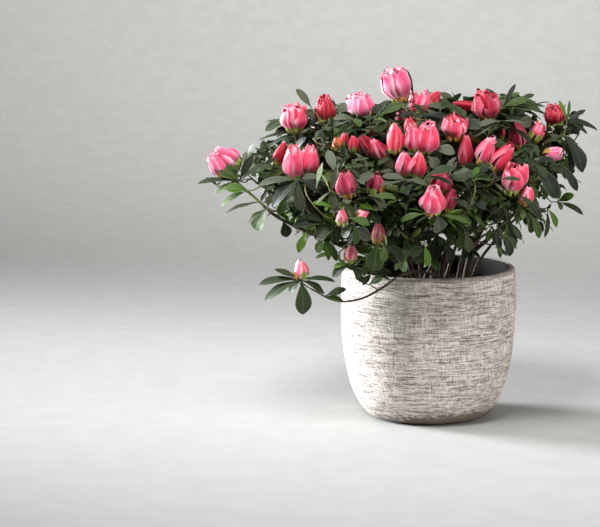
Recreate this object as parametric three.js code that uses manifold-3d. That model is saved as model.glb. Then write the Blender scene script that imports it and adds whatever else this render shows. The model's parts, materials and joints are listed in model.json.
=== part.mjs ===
// Florist's azalea in a round-bellied ceramic pot, as one object at its real size.
// Millimetres, +Z up, the front is -Y and the right is +X.
// The origin is the centre of the pot's flat underside.
import * as THREE from 'three';
import { mergeVertices } from 'three/addons/utils/BufferGeometryUtils.js';
import Module from 'manifold-3d';

const wasm = await Module();
wasm.setup();

const gap = 0.35; // clear space between pieces that touch
const sliver = 0.14; // edges and steps smaller than this are dropped after the cuts

const pot = {
  height: 155,
  footRadius: 54,
  bellyRadius: 90,
  bellyHeight: 118,
  bellyFullness: 2.2,
  rimRadius: 88.5,
  wall: 6.5,
  floor: 9,
  sides: 26,
  wallRings: 6,
  rimSteps: 3,
};
const soilLevel = pot.height - 20;

const crown = {
  centreX: -20,
  reach: { right: 132, back: 108, left: 132, front: 108 }, // from the centre to the edge masses
  edgeHeight: { right: 264, back: 262, left: 250, front: 243 },
  lumps: 0.1, // how far a mass swells and dips, as a share of its radius
};

// Rings of foliage masses: how many, how far out as a share of the reach, and how high.
const foliageRings = [
  { name: 'foliage_edge', count: 9, out: 1, rise: 0, turn: 0, size: [52, 52, 35] },
  { name: 'foliage_upper', count: 6, out: 0.56, rise: 37, turn: 30, size: [56, 50, 35] },
  { name: 'foliage_low', count: 7, out: 0.86, rise: -49, turn: 0, size: [40, 42, 27] },
];

// Single masses that give the crown its top, its furthest tips and its sprays.
const foliageSprays = [
  { name: 'foliage_top', at: [-22, 0, 303], size: [60, 56, 35] },
  { name: 'foliage_crest', at: [-32, -4, 334], size: [24, 22, 25] },
  { name: 'foliage_crest_right', at: [78, 4, 316], size: [36, 30, 22] },
  { name: 'foliage_crest_left', at: [-122, 2, 308], size: [34, 30, 23] },
  { name: 'foliage_far_left', at: [-203, -30, 251], size: [36, 27, 25] },
  { name: 'foliage_far_right', at: [148, 6, 294], size: [30, 27, 20] },
  { name: 'foliage_rim_left', at: [-70, -82, 180], size: [34, 24, 24] },
  { name: 'foliage_rim_front', at: [-18, -62, 181], size: [36, 22, 20] },
  { name: 'foliage_droop', at: [-132, -82, 144], size: [42, 28, 25] },
];

const stemDetail = { sides: 7, steps: 5 };
const boughDetail = { sides: 5, steps: 6 };
const massDetail = 2;

// Stems rise from one clump in the soil. A route starts under the soil and is cut flat at its level.
const stems = [
  { name: 'main_stem', foot: [38, 4], head: [56, 8, 198], radius: [4.4, 3.4], flare: 2 },
  { name: 'left_stem', foot: [-12, -12], head: [-38, -20, 186], radius: [3.4, 2.7], flare: 1.6 },
  { name: 'front_stem', foot: [10, -26], head: [18, -44, 190], radius: [3, 2.4], flare: 1.4 },
  { name: 'back_stem', foot: [8, 24], head: [-4, 44, 200], radius: [3.4, 2.8], flare: 1.6 },
];

// Boughs that rise from a stem, at a share of its length, into the mass they carry.
const risingBoughs = [
  { name: 'bough_right', stem: 'main_stem', start: 0.97, into: 'foliage_edge_1', radius: [3, 1.9] },
  { name: 'bough_right_low', stem: 'main_stem', start: 0.5, into: 'foliage_low_1', radius: [2.4, 1.7] },
  { name: 'bough_right_back', stem: 'main_stem', start: 0.86, into: 'foliage_edge_2', radius: [2.5, 1.7] },
  { name: 'bough_right_front', stem: 'main_stem', start: 0.72, into: 'foliage_edge_9', radius: [2.5, 1.7] },
  { name: 'bough_right_top', stem: 'main_stem', start: 1, into: 'foliage_upper_1', radius: [2.8, 1.8] },
  { name: 'bough_left_top', stem: 'left_stem', start: 1, into: 'foliage_upper_3', radius: [2.4, 1.8] },
  { name: 'bough_left_front', stem: 'left_stem', start: 0.8, into: 'foliage_low_5', radius: [2, 1.6] },
  { name: 'bough_front', stem: 'front_stem', start: 1, into: 'foliage_edge_8', radius: [2.2, 1.6] },
  { name: 'bough_back', stem: 'back_stem', start: 0.97, into: 'foliage_edge_3', radius: [2.5, 1.7] },
  { name: 'bough_back_left', stem: 'back_stem', start: 0.75, into: 'foliage_edge_4', radius: [2.2, 1.6] },
  { name: 'bough_top', stem: 'back_stem', start: 1, into: 'foliage_top', radius: [2.6, 1.8] },
];
const boughSag = 0.02; // how far a rising bough hangs under the straight line, as a share of its length

// Boughs with a course of their own: the long one to the far left, and the one that
// crosses the rim and droops, which is split at its bend.
const routedBoughs = [
  {
    name: 'bough_left_long',
    into: 'foliage_far_left',
    radius: [2.5, 1.6],
    route: [[-32, -18, 168], [-60, -48, 178], [-89, -68, 185], [-150, -64, 211], [-176, -50, 230], [-203, -30, 251]],
  },
  {
    name: 'bough_droop_inner',
    into: null,
    radius: [2, 1.6],
    route: [[11, -28, 147], [-8, -56, 157], [-24, -82, 160.5], [-36, -91, 158]],
  },
  {
    name: 'bough_droop_outer',
    into: 'foliage_droop',
    radius: [1.6, 1.3],
    route: [[-36.9, -91.5, 157.6], [-52, -96, 147], [-74, -96, 136], [-98, -90, 134], [-132, -82, 148]],
  },
];

const colours = {
  ceramic: 0xd9cfc4,
  rootBall: 0x33291f,
  bark: 0x5c4a38,
  leaves: 0x44573c,
};

function radians(degrees) {
  return THREE.MathUtils.degToRad(degrees);
}

function toSolid(geometry) {
  geometry.deleteAttribute('normal');
  geometry.deleteAttribute('uv');
  const merged = mergeVertices(geometry, 1e-4);
  return new wasm.Manifold(
    new wasm.Mesh({
      numProp: 3,
      vertProperties: new Float32Array(merged.attributes.position.array),
      triVerts: new Uint32Array(merged.index.array),
    }),
  );
}

function toGeometry(solid) {
  const mesh = solid.simplify(sliver).getMesh();
  const geometry = new THREE.BufferGeometry();
  geometry.setAttribute('position', new THREE.BufferAttribute(mesh.vertProperties, 3));
  geometry.setIndex(new THREE.BufferAttribute(mesh.triVerts, 1));
  geometry.computeVertexNormals();
  return geometry;
}

function largestPiece(solid) {
  return solid.decompose().reduce((a, b) => (a.volume() > b.volume() ? a : b));
}

// Outer radius of the pot at a height: an oval swell up to the belly, then slightly in to the rim.
function outerRadius(z) {
  if (z > pot.bellyHeight) {
    const rise = (z - pot.bellyHeight) / (pot.height - pot.bellyHeight);
    return pot.bellyRadius - (pot.bellyRadius - pot.rimRadius) * rise ** 2;
  }
  const drop = 1 - z / pot.bellyHeight;
  const swell = Math.sqrt(1 - drop ** pot.bellyFullness);
  return pot.footRadius + (pot.bellyRadius - pot.footRadius) * swell;
}

// Points up the wall between two heights, set in from the outer face, closer together near the foot.
function wallPoints(low, high, inset) {
  const rings = [];
  for (let ring = 1; ring <= pot.wallRings; ring += 1) {
    rings.push(pot.bellyHeight * (1 - Math.cos((ring / pot.wallRings) * (Math.PI / 2))));
  }
  rings.push(soilLevel);
  const between = rings.filter((z) => z > low + 1 && z < high - 1);
  return [low, ...between, high].map((z) => new THREE.Vector2(outerRadius(z) - inset, z));
}

function turned(profile) {
  const geometry = new THREE.LatheGeometry(profile, pot.sides);
  geometry.rotateX(Math.PI / 2);
  return geometry;
}

function potGeometry() {
  const rimRound = pot.wall / 2;
  const shoulder = pot.height - rimRound;
  const profile = [new THREE.Vector2(0, 0), ...wallPoints(0, shoulder, 0)];
  const rimMiddle = outerRadius(shoulder) - rimRound;
  for (let step = 1; step < pot.rimSteps; step += 1) {
    const angle = (step / pot.rimSteps) * Math.PI;
    const x = rimMiddle + rimRound * Math.cos(angle);
    profile.push(new THREE.Vector2(x, shoulder + rimRound * Math.sin(angle)));
  }
  profile.push(...wallPoints(pot.floor, shoulder, pot.wall).reverse(), new THREE.Vector2(0, pot.floor));
  return turned(profile);
}

function rootBallGeometry() {
  const floor = pot.floor + gap;
  const wall = wallPoints(floor, soilLevel, pot.wall + gap);
  return turned([new THREE.Vector2(0, floor), ...wall, new THREE.Vector2(0, soilLevel)]);
}

// The space that the pot takes, with a little room round it.
function potRoom() {
  const top = pot.height + gap;
  return toSolid(turned([new THREE.Vector2(0, -1), ...wallPoints(0, top, -gap), new THREE.Vector2(0, top)]));
}

// A limb: a rod bent along a smooth route, tapering, with an optional flare at its foot.
function limbSolid({ route, radius, flare = 0, room = 0, detail = boughDetail }) {
  const curve = new THREE.CatmullRomCurve3(route.map((point) => new THREE.Vector3(...point)));
  const frames = curve.computeFrenetFrames(detail.steps);
  const rod = new THREE.CylinderGeometry(1, 1, 1, detail.sides, detail.steps);
  const position = rod.attributes.position;
  const flareLength = 0.12;
  for (let i = 0; i < position.count; i += 1) {
    const along = position.getY(i) + 0.5;
    const frame = Math.round(along * detail.steps);
    const taper = THREE.MathUtils.lerp(radius[0], radius[1], along);
    const width = taper + flare * Math.exp(-along / flareLength) + room;
    const point = curve.getPointAt(along);
    point.addScaledVector(frames.normals[frame], position.getX(i) * width);
    point.addScaledVector(frames.binormals[frame], -position.getZ(i) * width);
    if (frame === 0) point.addScaledVector(frames.tangents[frame], -room);
    if (frame === detail.steps) point.addScaledVector(frames.tangents[frame], room);
    position.setXYZ(i, point.x, point.y, point.z);
  }
  return toSolid(rod);
}

function stemRoute({ foot, head }) {
  const [x, y] = foot;
  const [headX, headY, headZ] = head;
  const bend = [x + (headX - x) * 0.35, y + (headY - y) * 0.35, soilLevel + (headZ - soilLevel) * 0.5];
  return [[x, y, soilLevel - 4], bend, head];
}

function boughRoute(start, end) {
  const sag = boughSag * start.distanceTo(end);
  const middle = start.clone().lerp(end, 0.5);
  middle.z -= sag;
  return [start.toArray(), middle.toArray(), end.toArray()];
}

// Height and reach of the crown's edge round the plant, eased from side to side.
function roundTheCrown(values, angle) {
  const across = Math.cos(angle) > 0 ? values.right : values.left;
  const along = Math.sin(angle) > 0 ? values.back : values.front;
  return across * Math.cos(angle) ** 2 + along * Math.sin(angle) ** 2;
}

function ringMasses(ring) {
  const masses = [];
  for (let k = 0; k < ring.count; k += 1) {
    const angle = radians(ring.turn + (360 / ring.count) * k);
    const reach = roundTheCrown(crown.reach, angle) * ring.out;
    const x = crown.centreX + reach * Math.cos(angle);
    const y = reach * Math.sin(angle);
    const z = roundTheCrown(crown.edgeHeight, angle) + ring.rise;
    masses.push({ name: `${ring.name}_${k + 1}`, at: [x, y, z], size: ring.size, turn: angle });
  }
  return masses;
}

// An uneven closed mass: a ball stretched to its size, with swells and dips of its own.
function massSolid({ at, size, turn = 0 }, seed, room = 0) {
  const ball = new THREE.IcosahedronGeometry(1, massDetail);
  const position = ball.attributes.position;
  const direction = new THREE.Vector3();
  const spin = new THREE.Matrix4().makeRotationZ(turn);
  for (let i = 0; i < position.count; i += 1) {
    direction.fromBufferAttribute(position, i);
    const swell =
      Math.sin(3.1 * direction.x + 1.7 * seed) +
      Math.sin(4.3 * direction.y + 2.9 * seed) * 0.7 +
      Math.sin(5.2 * direction.z + 0.9 * seed + 2 * direction.x) * 0.5;
    const width = 1 + crown.lumps * swell;
    direction.set(
      direction.x * (size[0] * width + room),
      direction.y * (size[1] * width + room),
      direction.z * (size[2] * width + room),
    );
    direction.applyMatrix4(spin);
    position.setXYZ(i, direction.x + at[0], direction.y + at[1], direction.z + at[2]);
  }
  return toSolid(ball);
}

function radiusTowards({ size, turn = 0 }, direction) {
  const local = direction.clone().applyAxisAngle(new THREE.Vector3(0, 0, 1), -turn);
  return 1 / Math.hypot(local.x / size[0], local.y / size[1], local.z / size[2]);
}

// Cuts two overlapping masses apart along the plane between them.
function partMasses(a, b) {
  if (a.solid.intersect(b.solid).isEmpty()) return;
  const from = new THREE.Vector3(...a.at);
  const direction = new THREE.Vector3(...b.at).sub(from);
  const distance = direction.length();
  direction.normalize();
  const radiusA = radiusTowards(a, direction);
  const share = radiusA / (radiusA + radiusTowards(b, direction));
  const offset = from.dot(direction) + distance * share;
  const back = direction.clone().negate();
  a.solid = a.solid.trimByPlane(back.toArray(), -(offset - gap / 2));
  b.solid = b.solid.trimByPlane(direction.toArray(), offset + gap / 2);
}

function buildStems() {
  const built = [];
  for (const stem of stems) {
    const shape = { ...stem, route: stemRoute(stem), detail: stemDetail };
    const ground = soilLevel + gap;
    const whole = limbSolid(shape).trimByPlane([0, 0, 1], ground);
    const room = limbSolid({ ...shape, room: gap });
    const solid = built.reduce((rest, other) => rest.subtract(other.room), whole);
    const curve = new THREE.CatmullRomCurve3(shape.route.map((point) => new THREE.Vector3(...point)));
    built.push({ name: stem.name, solid, room, curve });
  }
  return built;
}

function buildBoughs(builtStems, masses) {
  const stemByName = new Map(builtStems.map((stem) => [stem.name, stem]));
  const massByName = new Map(masses.map((mass) => [mass.name, mass]));
  const rising = risingBoughs.map((bough) => {
    const start = stemByName.get(bough.stem).curve.getPointAt(bough.start);
    const end = new THREE.Vector3(...massByName.get(bough.into).at);
    return { ...bough, route: boughRoute(start, end) };
  });
  const built = [];
  for (const bough of [...routedBoughs, ...rising]) {
    const room = limbSolid({ ...bough, room: gap });
    const taken = [...builtStems, ...built].map((limb) => limb.room);
    const solid = taken.reduce((rest, other) => rest.subtract(other), limbSolid(bough));
    built.push({ name: bough.name, into: bough.into, solid: largestPiece(solid), room });
  }
  return built;
}

function buildMasses() {
  const masses = [...foliageRings.flatMap(ringMasses), ...foliageSprays];
  masses.forEach((mass, index) => {
    mass.seed = index + 1;
    mass.solid = massSolid(mass, mass.seed);
  });
  masses.forEach((a, index) => masses.slice(index + 1).forEach((b) => partMasses(a, b)));
  return masses;
}

// Boughs end where they enter their own mass; every other mass is cut round them and round the stems.
function fitMassesAndLimbs(masses, builtStems, boughs) {
  const room = potRoom();
  for (const mass of masses) {
    mass.solid = mass.solid.subtract(room);
    for (const limb of [...builtStems, ...boughs]) {
      if (limb.into !== mass.name) mass.solid = mass.solid.subtract(limb.room);
    }
    mass.solid = largestPiece(mass.solid);
  }
  for (const bough of boughs) {
    const mass = masses.find(({ name }) => name === bough.into);
    if (mass) bough.solid = largestPiece(bough.solid.subtract(massSolid(mass, mass.seed, gap)));
  }
}

function addMesh(group, name, geometry, colour, roughness) {
  const material = new THREE.MeshStandardMaterial({ color: colour, roughness, metalness: 0 });
  const mesh = new THREE.Mesh(geometry, material);
  mesh.name = name;
  group.add(mesh);
}

const masses = buildMasses();
const builtStems = buildStems();
const boughs = buildBoughs(builtStems, masses);
fitMassesAndLimbs(masses, builtStems, boughs);

const azalea = new THREE.Group();
const planter = new THREE.Group();
const limbs = new THREE.Group();
const foliage = new THREE.Group();
azalea.add(planter, limbs, foliage);

addMesh(planter, 'pot', potGeometry(), colours.ceramic, 0.8);
addMesh(planter, 'root_ball', rootBallGeometry(), colours.rootBall, 1);
for (const limb of [...builtStems, ...boughs]) {
  addMesh(limbs, limb.name, toGeometry(limb.solid), colours.bark, 0.8);
}
for (const mass of masses) {
  addMesh(foliage, mass.name, toGeometry(mass.solid), colours.leaves, 0.6);
}

export default azalea;
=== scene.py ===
import json
import math

import bmesh
import bpy
import numpy as np
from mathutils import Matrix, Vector
from mathutils.bvhtree import BVHTree

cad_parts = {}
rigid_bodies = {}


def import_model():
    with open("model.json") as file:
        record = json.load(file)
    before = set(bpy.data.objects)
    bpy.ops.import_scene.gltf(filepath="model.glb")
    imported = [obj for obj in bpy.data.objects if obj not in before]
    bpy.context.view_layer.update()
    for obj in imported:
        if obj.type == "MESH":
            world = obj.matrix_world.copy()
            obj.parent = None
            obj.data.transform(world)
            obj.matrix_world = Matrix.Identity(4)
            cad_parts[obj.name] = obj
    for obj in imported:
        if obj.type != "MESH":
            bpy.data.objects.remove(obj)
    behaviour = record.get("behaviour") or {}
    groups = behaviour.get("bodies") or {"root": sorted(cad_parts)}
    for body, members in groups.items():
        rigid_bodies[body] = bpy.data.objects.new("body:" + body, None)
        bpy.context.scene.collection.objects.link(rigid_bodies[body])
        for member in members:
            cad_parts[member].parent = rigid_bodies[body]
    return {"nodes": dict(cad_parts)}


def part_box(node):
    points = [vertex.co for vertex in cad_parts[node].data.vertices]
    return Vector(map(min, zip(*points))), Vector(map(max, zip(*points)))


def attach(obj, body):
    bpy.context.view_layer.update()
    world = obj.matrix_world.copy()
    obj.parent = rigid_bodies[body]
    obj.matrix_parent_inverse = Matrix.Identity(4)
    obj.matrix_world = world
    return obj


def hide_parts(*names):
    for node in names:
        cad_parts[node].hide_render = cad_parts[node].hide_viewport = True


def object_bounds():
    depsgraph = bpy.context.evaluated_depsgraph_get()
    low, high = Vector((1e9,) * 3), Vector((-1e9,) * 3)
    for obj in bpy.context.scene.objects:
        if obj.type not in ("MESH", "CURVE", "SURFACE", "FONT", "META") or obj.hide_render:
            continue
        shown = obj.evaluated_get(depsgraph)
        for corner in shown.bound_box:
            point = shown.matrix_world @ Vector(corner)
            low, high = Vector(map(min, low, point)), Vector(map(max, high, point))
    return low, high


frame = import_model()
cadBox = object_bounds()
millimetre = 0.001
pixelSpan = 1.03   # millimetres that a pixel of the photograph spans at the plant
fullTurn = 2 * math.pi
wavePhase = (0, 6.28)


# camera and light

view = {
    "place": (-0.1322, -2.1744, 0.4898),
    "pitch": 8.70,
    "lens": 128.3,
    "sensor": 36.0,
    "width": 600,
    "height": 527,
}
pitch = math.radians(view["pitch"])
viewForward = np.array([0.0, math.cos(pitch), -math.sin(pitch)])
viewUp = np.array([0.0, math.sin(pitch), math.cos(pitch)])
viewPlace = np.array(view["place"])
focalPixels = view["lens"] / view["sensor"] * view["width"]


def seenRay(pixel):
    across = (pixel[0] - view["width"] / 2) / focalPixels
    down = (pixel[1] - view["height"] / 2) / focalPixels
    ray = viewForward + np.array([across, 0.0, 0.0]) - viewUp * down
    return ray / np.linalg.norm(ray)


def seenAt(pixel, depth):
    # the point that shows at this pixel, depth metres behind the pot's axis
    ray = seenRay(pixel)
    return viewPlace + ray * ((depth - viewPlace[1]) / ray[1])


def pixelsOf(points):
    away = points - viewPlace
    far = away @ viewForward
    across = view["width"] / 2 + focalPixels * away[:, 0] / far
    down = view["height"] / 2 - focalPixels * (away @ viewUp) / far
    return np.stack([across, down], axis=1)


def addObject(name, data):
    added = bpy.data.objects.new(name, data)
    bpy.context.scene.collection.objects.link(added)
    return added


camera = addObject("camera", bpy.data.cameras.new("camera"))
camera.location = view["place"]
camera.rotation_euler = (math.radians(90 - view["pitch"]), 0, 0)
camera.data.sensor_width = view["sensor"]
camera.data.lens = view["lens"]
camera.data.clip_start = 0.05
bpy.context.scene.camera = camera
bpy.context.scene.view_settings.view_transform = "Standard"

lights = {
    "keyLeft": {"place": (-2.0, 0.86, 0.64), "aim": (0, 0, 0.24), "size": 0.8, "power": 16,
                "beam": 44, "color": (0.94, 0.975, 1.0)},
    "topFront": {"place": (-0.5, -0.9, 1.9), "aim": (0, 0, 0.27), "size": 0.8, "power": 6.5,
                 "beam": 60, "color": (1, 1, 1)},
    "fillRight": {"place": (2.0, -1.1, 0.8), "aim": (0, 0, 0.2), "size": 1.2, "power": 14.8,
                  "beam": 120, "color": (1.0, 0.975, 0.95)},
    "backWash": {"place": (0.3, 1.0, 2.3), "aim": (0.1, 2.7, 0.5), "size": 1.2, "power": 34,
                 "beam": 110, "color": (1, 1, 1)},
}
worldGlow = {"color": (0.85, 0.86, 0.86), "strength": 0.34}

for lightName, light in lights.items():
    lamp = addObject(lightName, bpy.data.lights.new(lightName, "AREA"))
    lamp.data.size = light["size"]
    lamp.data.energy = light["power"]
    lamp.data.spread = math.radians(light["beam"])
    lamp.data.color = light["color"]
    lamp.location = light["place"]
    aim = Vector(light["aim"]) - Vector(light["place"])
    lamp.rotation_euler = aim.to_track_quat("-Z", "Y").to_euler()

world = bpy.data.worlds.new("studio")
bpy.context.scene.world = world
world.use_nodes = True
worldShader = world.node_tree.nodes["Background"]
worldShader.inputs["Color"].default_value = (*worldGlow["color"], 1)
worldShader.inputs["Strength"].default_value = worldGlow["strength"]


# small helpers for nodes

def tint(*screen):
    # a screen colour from 0 to 255 as Blender's linear colour
    linear = []
    for share in (value / 255 for value in screen):
        linear.append(share / 12.92 if share <= 0.04045 else ((share + 0.055) / 1.055) ** 2.4)
    return (*linear, 1.0)


def plug(tree, socket, value):
    # a socket is linked, a plain value is set
    if isinstance(value, bpy.types.NodeSocket):
        tree.links.new(value, socket)
    else:
        socket.default_value = value


def addNode(tree, kind, inputs=None, **settings):
    node = tree.nodes.new(kind)
    for key, value in settings.items():
        setattr(node, key, value)
    for key, value in (inputs or {}).items():
        plug(tree, node.inputs[key], value)
    return node


def calc(tree, operation, *values, clamp=False):
    inputs = dict(enumerate(values))
    return addNode(tree, "ShaderNodeMath", inputs, operation=operation, use_clamp=clamp).outputs[0]


def times(tree, first, second, clamp=False):
    return calc(tree, "MULTIPLY", first, second, clamp=clamp)


def timesPlus(tree, first, second, third, clamp=False):
    return calc(tree, "MULTIPLY_ADD", first, second, third, clamp=clamp)


def fromMiddle(tree, value):
    return calc(tree, "ABSOLUTE", calc(tree, "SUBTRACT", value, 0.5))


def mixColors(tree, factor, first, second):
    inputs = {0: factor, 6: first, 7: second}
    return addNode(tree, "ShaderNodeMix", inputs, data_type="RGBA").outputs[2]


def dimmed(tree, color, tone):
    return addNode(tree, "ShaderNodeVectorMath", {0: color, 3: tone}, operation="SCALE").outputs[0]


def spread(tree, value, low, high, toLow=0.0, toHigh=1.0):
    # maps low..high to toLow..toHigh with soft ends
    inputs = dict(enumerate((value, low, high, toLow, toHigh)))
    return addNode(tree, "ShaderNodeMapRange", inputs, interpolation_type="SMOOTHSTEP").outputs[0]


def noiseAt(tree, vector, scale, detail=2.0, rough=0.5):
    inputs = {"Vector": vector, "Scale": scale, "Detail": detail, "Roughness": rough}
    return addNode(tree, "ShaderNodeTexNoise", inputs).outputs["Fac"]


def stretched(tree, vector, scale):
    return addNode(tree, "ShaderNodeVectorMath", {0: vector, 1: scale}, operation="MULTIPLY").outputs[0]


def placeOn(tree, kind):
    return addNode(tree, "ShaderNodeTexCoord").outputs[kind]


def newGroup(name, **inputs):
    # every group puts out a colour, a height and a roughness
    group = bpy.data.node_groups.new(name, "ShaderNodeTree")
    for key, value in inputs.items():
        kind = "NodeSocketColor" if isinstance(value, tuple) else "NodeSocketFloat"
        socket = group.interface.new_socket(name=key, in_out="INPUT", socket_type=kind)
        socket.default_value = value
    for key, kind in {"Color": "Color", "Height": "Float", "Roughness": "Float"}.items():
        group.interface.new_socket(name=key, in_out="OUTPUT", socket_type="NodeSocket" + kind)
    return group, group.nodes.new("NodeGroupInput").outputs


def endGroup(group, *values):
    end = group.nodes.new("NodeGroupOutput")
    for socket, value in zip(end.inputs, values):
        plug(group, socket, value)
    return group


def useGroup(tree, group, **values):
    node = addNode(tree, "ShaderNodeGroup", node_tree=group)
    for key, value in values.items():
        plug(tree, node.inputs[key], value)
    return node.outputs


def newMaterial(name, plain):
    # plain holds the values that are the same all over the surface
    material = bpy.data.materials.new(name)
    material.use_nodes = True
    tree = material.node_tree
    shader = tree.nodes["Principled BSDF"]
    for key, value in plain.items():
        shader.inputs[key].default_value = value
    return material, tree, shader


def dress(tree, shader, found, strength, distance, color=None):
    # a group's looks on the shader; color takes the place of the group's own
    bump = addNode(tree, "ShaderNodeBump", {"Height": found["Height"], "Strength": strength,
                                           "Distance": distance})
    plug(tree, shader.inputs["Base Color"], found["Color"] if color is None else color)
    plug(tree, shader.inputs["Roughness"], found["Roughness"])
    plug(tree, shader.inputs["Normal"], bump.outputs["Normal"])


atlasTiles = 4      # leaf and petal blades share a map of 4 by 4 tiles, each with its own shade
tileMargin = 0.1    # on every side of a tile


def bladePlace(tree):
    # where a point lies on its blade (across -1..1, along 0..1), and its tile's own chance
    scaled = stretched(tree, placeOn(tree, "UV"), (atlasTiles, atlasTiles, 1))
    inside = addNode(tree, "ShaderNodeVectorMath", {0: scaled}, operation="FRACTION").outputs[0]
    tile = addNode(tree, "ShaderNodeVectorMath", {0: scaled}, operation="FLOOR").outputs[0]
    chance = addNode(tree, "ShaderNodeTexWhiteNoise", {"Vector": tile}, noise_dimensions="3D")
    parts = addNode(tree, "ShaderNodeSeparateXYZ", {0: inside})
    across = timesPlus(tree, parts.outputs[0], 2.5, -1.25)
    along = timesPlus(tree, parts.outputs[1], 1.25, -0.125)
    return scaled, across, along, chance.outputs["Value"]


def tileShade(tree, chance, reach, base):
    # each tile a little lighter or darker than base
    return calc(tree, "ADD", base, times(tree, calc(tree, "SUBTRACT", chance, 0.5), reach))


def buildLeafVeins():
    group, given = newGroup("leafVeins", Main=(0.03, 0.06, 0.03, 1), Rib=(0.2, 0.3, 0.1, 1),
                            Rim=(0.1, 0.1, 0.05, 1), Spread=0.25)
    scaled, across, along, chance = bladePlace(group)
    side = calc(group, "ABSOLUTE", across)
    rib = spread(group, side, 0.03, 0.11, 1.0, 0.0)
    # side veins leave the rib at a slant and bend towards the tip
    slant = timesPlus(group, calc(group, "POWER", side, 0.7), -1.6, times(group, along, 8.0))
    wave = fromMiddle(group, calc(group, "FRACT", slant))
    vein = spread(group, wave, 0.0, 0.09, 1.0, 0.0)
    vein = times(group, vein, spread(group, side, 0.55, 0.95, 1.0, 0.0))
    mottle = noiseAt(group, scaled, 5.5, 4.0, 0.6)
    fine = noiseAt(group, scaled, 40.0)
    tone = tileShade(group, chance, given["Spread"], timesPlus(group, mottle, 0.75, 0.62))
    color = dimmed(group, given["Main"], tone)
    color = mixColors(group, times(group, spread(group, side, 0.80, 1.0), 0.75), color, given["Rim"])
    color = mixColors(group, times(group, vein, 0.13), color, given["Rib"])
    color = mixColors(group, times(group, rib, 0.5), color, given["Rib"])
    lift = timesPlus(group, rib, -0.8, times(group, vein, -0.45))
    lift = calc(group, "ADD", lift, times(group, mottle, 0.7))
    return endGroup(group, color, timesPlus(group, fine, 0.12, lift),
                    timesPlus(group, mottle, 0.28, 0.42))


def buildPetalSilk():
    group, given = newGroup("petalSilk", Main=(0.8, 0.2, 0.3, 1), Edge=(0.9, 0.7, 0.8, 1),
                            Streak=(0.7, 0.03, 0.08, 1), Foot=(0.8, 0.7, 0.6, 1), Pale=0.6, Spread=0.3)
    scaled, across, along, chance = bladePlace(group)
    threads = noiseAt(group, stretched(group, scaled, (9.0, 1.6, 1.0)), 3.2, 4.0, 0.65)
    cloud = noiseAt(group, scaled, 2.6, 3.0, 0.55)
    side = timesPlus(group, cloud, 0.36, calc(group, "SUBTRACT", across, 0.18))
    side = calc(group, "ABSOLUTE", side)
    # paler margins and tips: partly the petals' own paler edge, partly painted highlight
    tip = times(group, spread(group, along, 0.86, 1.0), 0.8)
    edge = calc(group, "MAXIMUM", spread(group, side, 0.34, 0.92), tip)
    edge = times(group, edge, given["Pale"])
    middle = spread(group, side, 0.05, 0.42, 1.0, 0.0)
    middle = times(group, middle, spread(group, along, 0.12, 0.55))
    middle = times(group, middle, timesPlus(group, threads, 0.9, 0.25))
    middle = times(group, middle, timesPlus(group, chance, 0.7, 0.45), clamp=True)
    color = mixColors(group, edge, given["Main"], given["Edge"])
    color = mixColors(group, middle, color, given["Streak"])
    foot = times(group, spread(group, along, 0.02, 0.36, 1.0, 0.0), 0.75)
    color = mixColors(group, foot, color, given["Foot"])
    thin = times(group, spread(group, threads, 0.5, 0.72, 0.0, 0.42), given["Pale"])
    color = mixColors(group, thin, color, given["Edge"])
    tone = tileShade(group, chance, given["Spread"], timesPlus(group, cloud, 0.4, 0.8))
    return endGroup(group, dimmed(group, color, tone), threads, timesPlus(group, threads, 0.3, 0.36))


def buildBarkRidges():
    group, given = newGroup("barkRidges", Dark=(0.04, 0.02, 0.01, 1), Light=(0.3, 0.2, 0.12, 1),
                            Moss=(0.1, 0.12, 0.03, 1), Around=9.0, Along=14.0, Green=0.2)
    size = addNode(group, "ShaderNodeCombineXYZ", {0: given["Around"], 1: given["Along"]})
    place = stretched(group, placeOn(group, "UV"), size.outputs[0])
    ridge = noiseAt(group, place, 1.0, 5.0, 0.62)
    flake = noiseAt(group, place, 3.1, 4.0, 0.6)
    color = mixColors(group, spread(group, ridge, 0.36, 0.66), given["Dark"], given["Light"])
    moss = times(group, spread(group, flake, 0.45, 0.7), given["Green"])
    return endGroup(group, mixColors(group, moss, color, given["Moss"]),
                    timesPlus(group, flake, 0.4, ridge), timesPlus(group, flake, 0.3, 0.5))


def strokesAlong(tree, vector, scale, detail=3.0, rough=0.55):
    return noiseAt(tree, stretched(tree, vector, scale), 1.0, detail, rough)


def thinLines(tree, vector, scale, width):
    # long wavy hairlines: where a stretched noise passes through its middle
    return spread(tree, fromMiddle(tree, strokesAlong(tree, vector, scale)), 0.0, width, 1.0, 0.0)


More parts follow.
